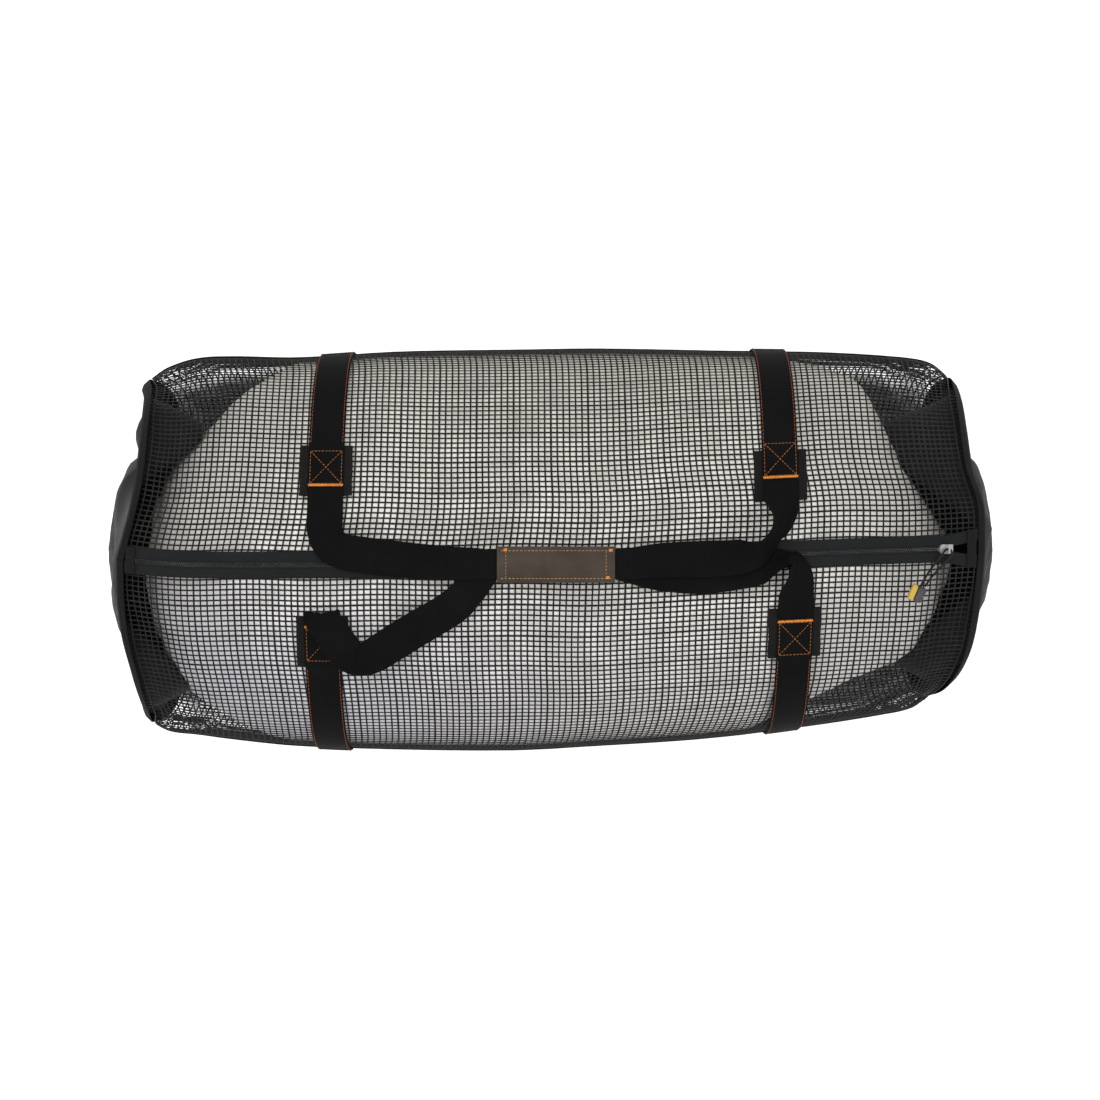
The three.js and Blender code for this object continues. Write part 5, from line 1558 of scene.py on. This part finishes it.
def make_wrap():
    turns = 2 * math.pi * (np.arange(WRAP_COLUMNS) + 0.5) / WRAP_COLUMNS
    along = crowded(WRAP_ROWS)[:, None]
    x = wrap_x + along * WRAP_LENGTH / 2
    dents = ripples("wrap_dents")
    grids = []
    for shrink in (0.0, WRAP_WALL):
        y, z = sleeve_outline(shrink, turns)
        press = WRAP_DENTS * dents(x, y) + WRAP_END_RISE * np.abs(along) ** 8 - WRAP_DENTS
        grids.append(grid_of(x, wrap_y + y, wrap_z + z + press * np.sign(z)))
    uv = grid_of(x, run_along(np.stack(sleeve_outline(0, turns), axis=1)))
    piece = shell("handle_sleeve", *grids, wrap_cloth, "wrap_fabric", uv, close_columns=True)
    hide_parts("handle_wrap")
    half_x, half_y = WRAP_LENGTH / 2, WRAP_WIDTH / 2
    tan, orange = [], []
    for sign in (1, -1):
        level = wrap_z + sign * (WRAP_HEIGHT / 2 - SLEEVE_SUNK)
        up = np.array([0, 0, float(sign)])
        for y in (SLEEVE_INSET - half_y, half_y - SLEEVE_INSET):
            reach = np.array([half_x - SLEEVE_SEAM_END, 0])
            middle = np.array([wrap_x, wrap_y + y])
            tan += sleeve_seam(middle - reach, middle + reach, level, up, "sleeve")
        for x in (SLEEVE_END_INSET - half_x, half_x - SLEEVE_END_INSET):
            reach = np.array([0, half_y - SLEEVE_SEAM_SIDE])
            middle = np.array([wrap_x + x, wrap_y])
            tan += sleeve_seam(middle - reach, middle + reach, level, up, "sleeve_end")
        for end, side, in_x, in_y in SLEEVE_TACKS:
            for i in range(TACK_ROWS):
                y = wrap_y + side * half_y + in_y + i * TACK_ROW_STEP
                start = np.array([wrap_x + end * half_x + in_x, y, level])
                orange.append(stitch_rings(start, start + TACK_SIZE, up, TACK_THREAD, STITCH_LIFT))
    tubes("sleeve_stitches", tan, tan_thread)
    tubes("sleeve_tacks", orange, orange_thread)


make_wrap()

# Stage: a pale floor, a bright sky and soft lights
FLOOR_HALF = 6.0
floor_mesh = bpy.data.meshes.new("floor")
floor_corners = [(x * FLOOR_HALF, y * FLOOR_HALF, 0) for x, y in ((-1, -1), (1, -1), (1, 1), (-1, 1))]
floor_mesh.from_pydata(floor_corners, [], [(0, 1, 2, 3)])
floor = bpy.data.objects.new("floor", floor_mesh)
floor.location = (0, 0, float(cad_low.z) - 0.0005)
bpy.context.scene.collection.objects.link(floor)
floor_paint, floor_tree, floor_shader = nodes_of("floor_paint")
floor_shader.inputs["Roughness"].default_value = 0.95
floor_shader.inputs["Emission Color"].default_value = (1, 1, 1, 1)
# Painted shadow: under the bag's footprint the floor is painted dark and has no glow of its own, so it reads
# as the bag's shadow
# Half size and shift of the painted shadow under the bag
PAINTED_SHADOW_HALF = (0.438, 0.184)
PAINTED_SHADOW_SHIFT = (0.012, -0.04, 0)
FLOOR_GLOW = 0.4
floor_places = node(floor_tree, "ShaderNodeTexCoord").outputs["Object"]
painted_shadow_places = node(floor_tree, "ShaderNodeVectorMath",
                 {0: floor_places, 1: (1 / PAINTED_SHADOW_HALF[0], 1 / PAINTED_SHADOW_HALF[1], 0), 2: PAINTED_SHADOW_SHIFT},
                 operation="MULTIPLY_ADD")
floor_split = node(floor_tree, "ShaderNodeSeparateXYZ", {0: painted_shadow_places.outputs[0]})
powers = [math_node(floor_tree, "POWER", math_node(floor_tree, "ABSOLUTE", floor_split.outputs[axis]), 8.0)
          for axis in (0, 1)]
outside_painted_shadow = mapped(floor_tree, math_node(floor_tree, "ADD", *powers), 0.7, 1.2)
# Painted shadow: the floor's colour is dark grey under the bag and pale outside it
floor_colour_with_painted_shadow = mixed(floor_tree, outside_painted_shadow, (0.14, 0.14, 0.14, 1), (0.93, 0.93, 0.93, 1))
# The floor's glow is left out under the bag, as part of the painted shadow
floor_glow = math_node(floor_tree, "MULTIPLY", outside_painted_shadow, FLOOR_GLOW)
floor_tree.links.new(floor_glow, floor_shader.inputs["Emission Strength"])
floor_tree.links.new(floor_colour_with_painted_shadow, floor_shader.inputs["Base Color"])
floor_mesh.materials.append(floor_paint)

world = bpy.data.worlds.new("sky")
bpy.context.scene.world = world
world.use_nodes = True
world.node_tree.nodes["Background"].inputs["Color"].default_value = (1, 1, 1, 1)
world.node_tree.nodes["Background"].inputs["Strength"].default_value = 0.9

LIGHTS = [
    ("key", (-0.7, 0.5, 3.0), 2.0, 42.0),
    ("fill", (1.1, -1.0, 2.8), 2.4, 24.0),
]
for light_name, place, size, power in LIGHTS:
    light_data = bpy.data.lights.new(light_name, "AREA")
    light_data.size = size
    light_data.energy = power
    light = bpy.data.objects.new(light_name, light_data)
    light.location = place
    light.rotation_mode = "QUATERNION"
    light.rotation_quaternion = (Vector((0, 0, 0.15)) - Vector(place)).to_track_quat("-Z", "Y")
    bpy.context.scene.collection.objects.link(light)

bpy.context.scene.view_settings.view_transform = "Standard"
bpy.context.scene.view_settings.look = "None"
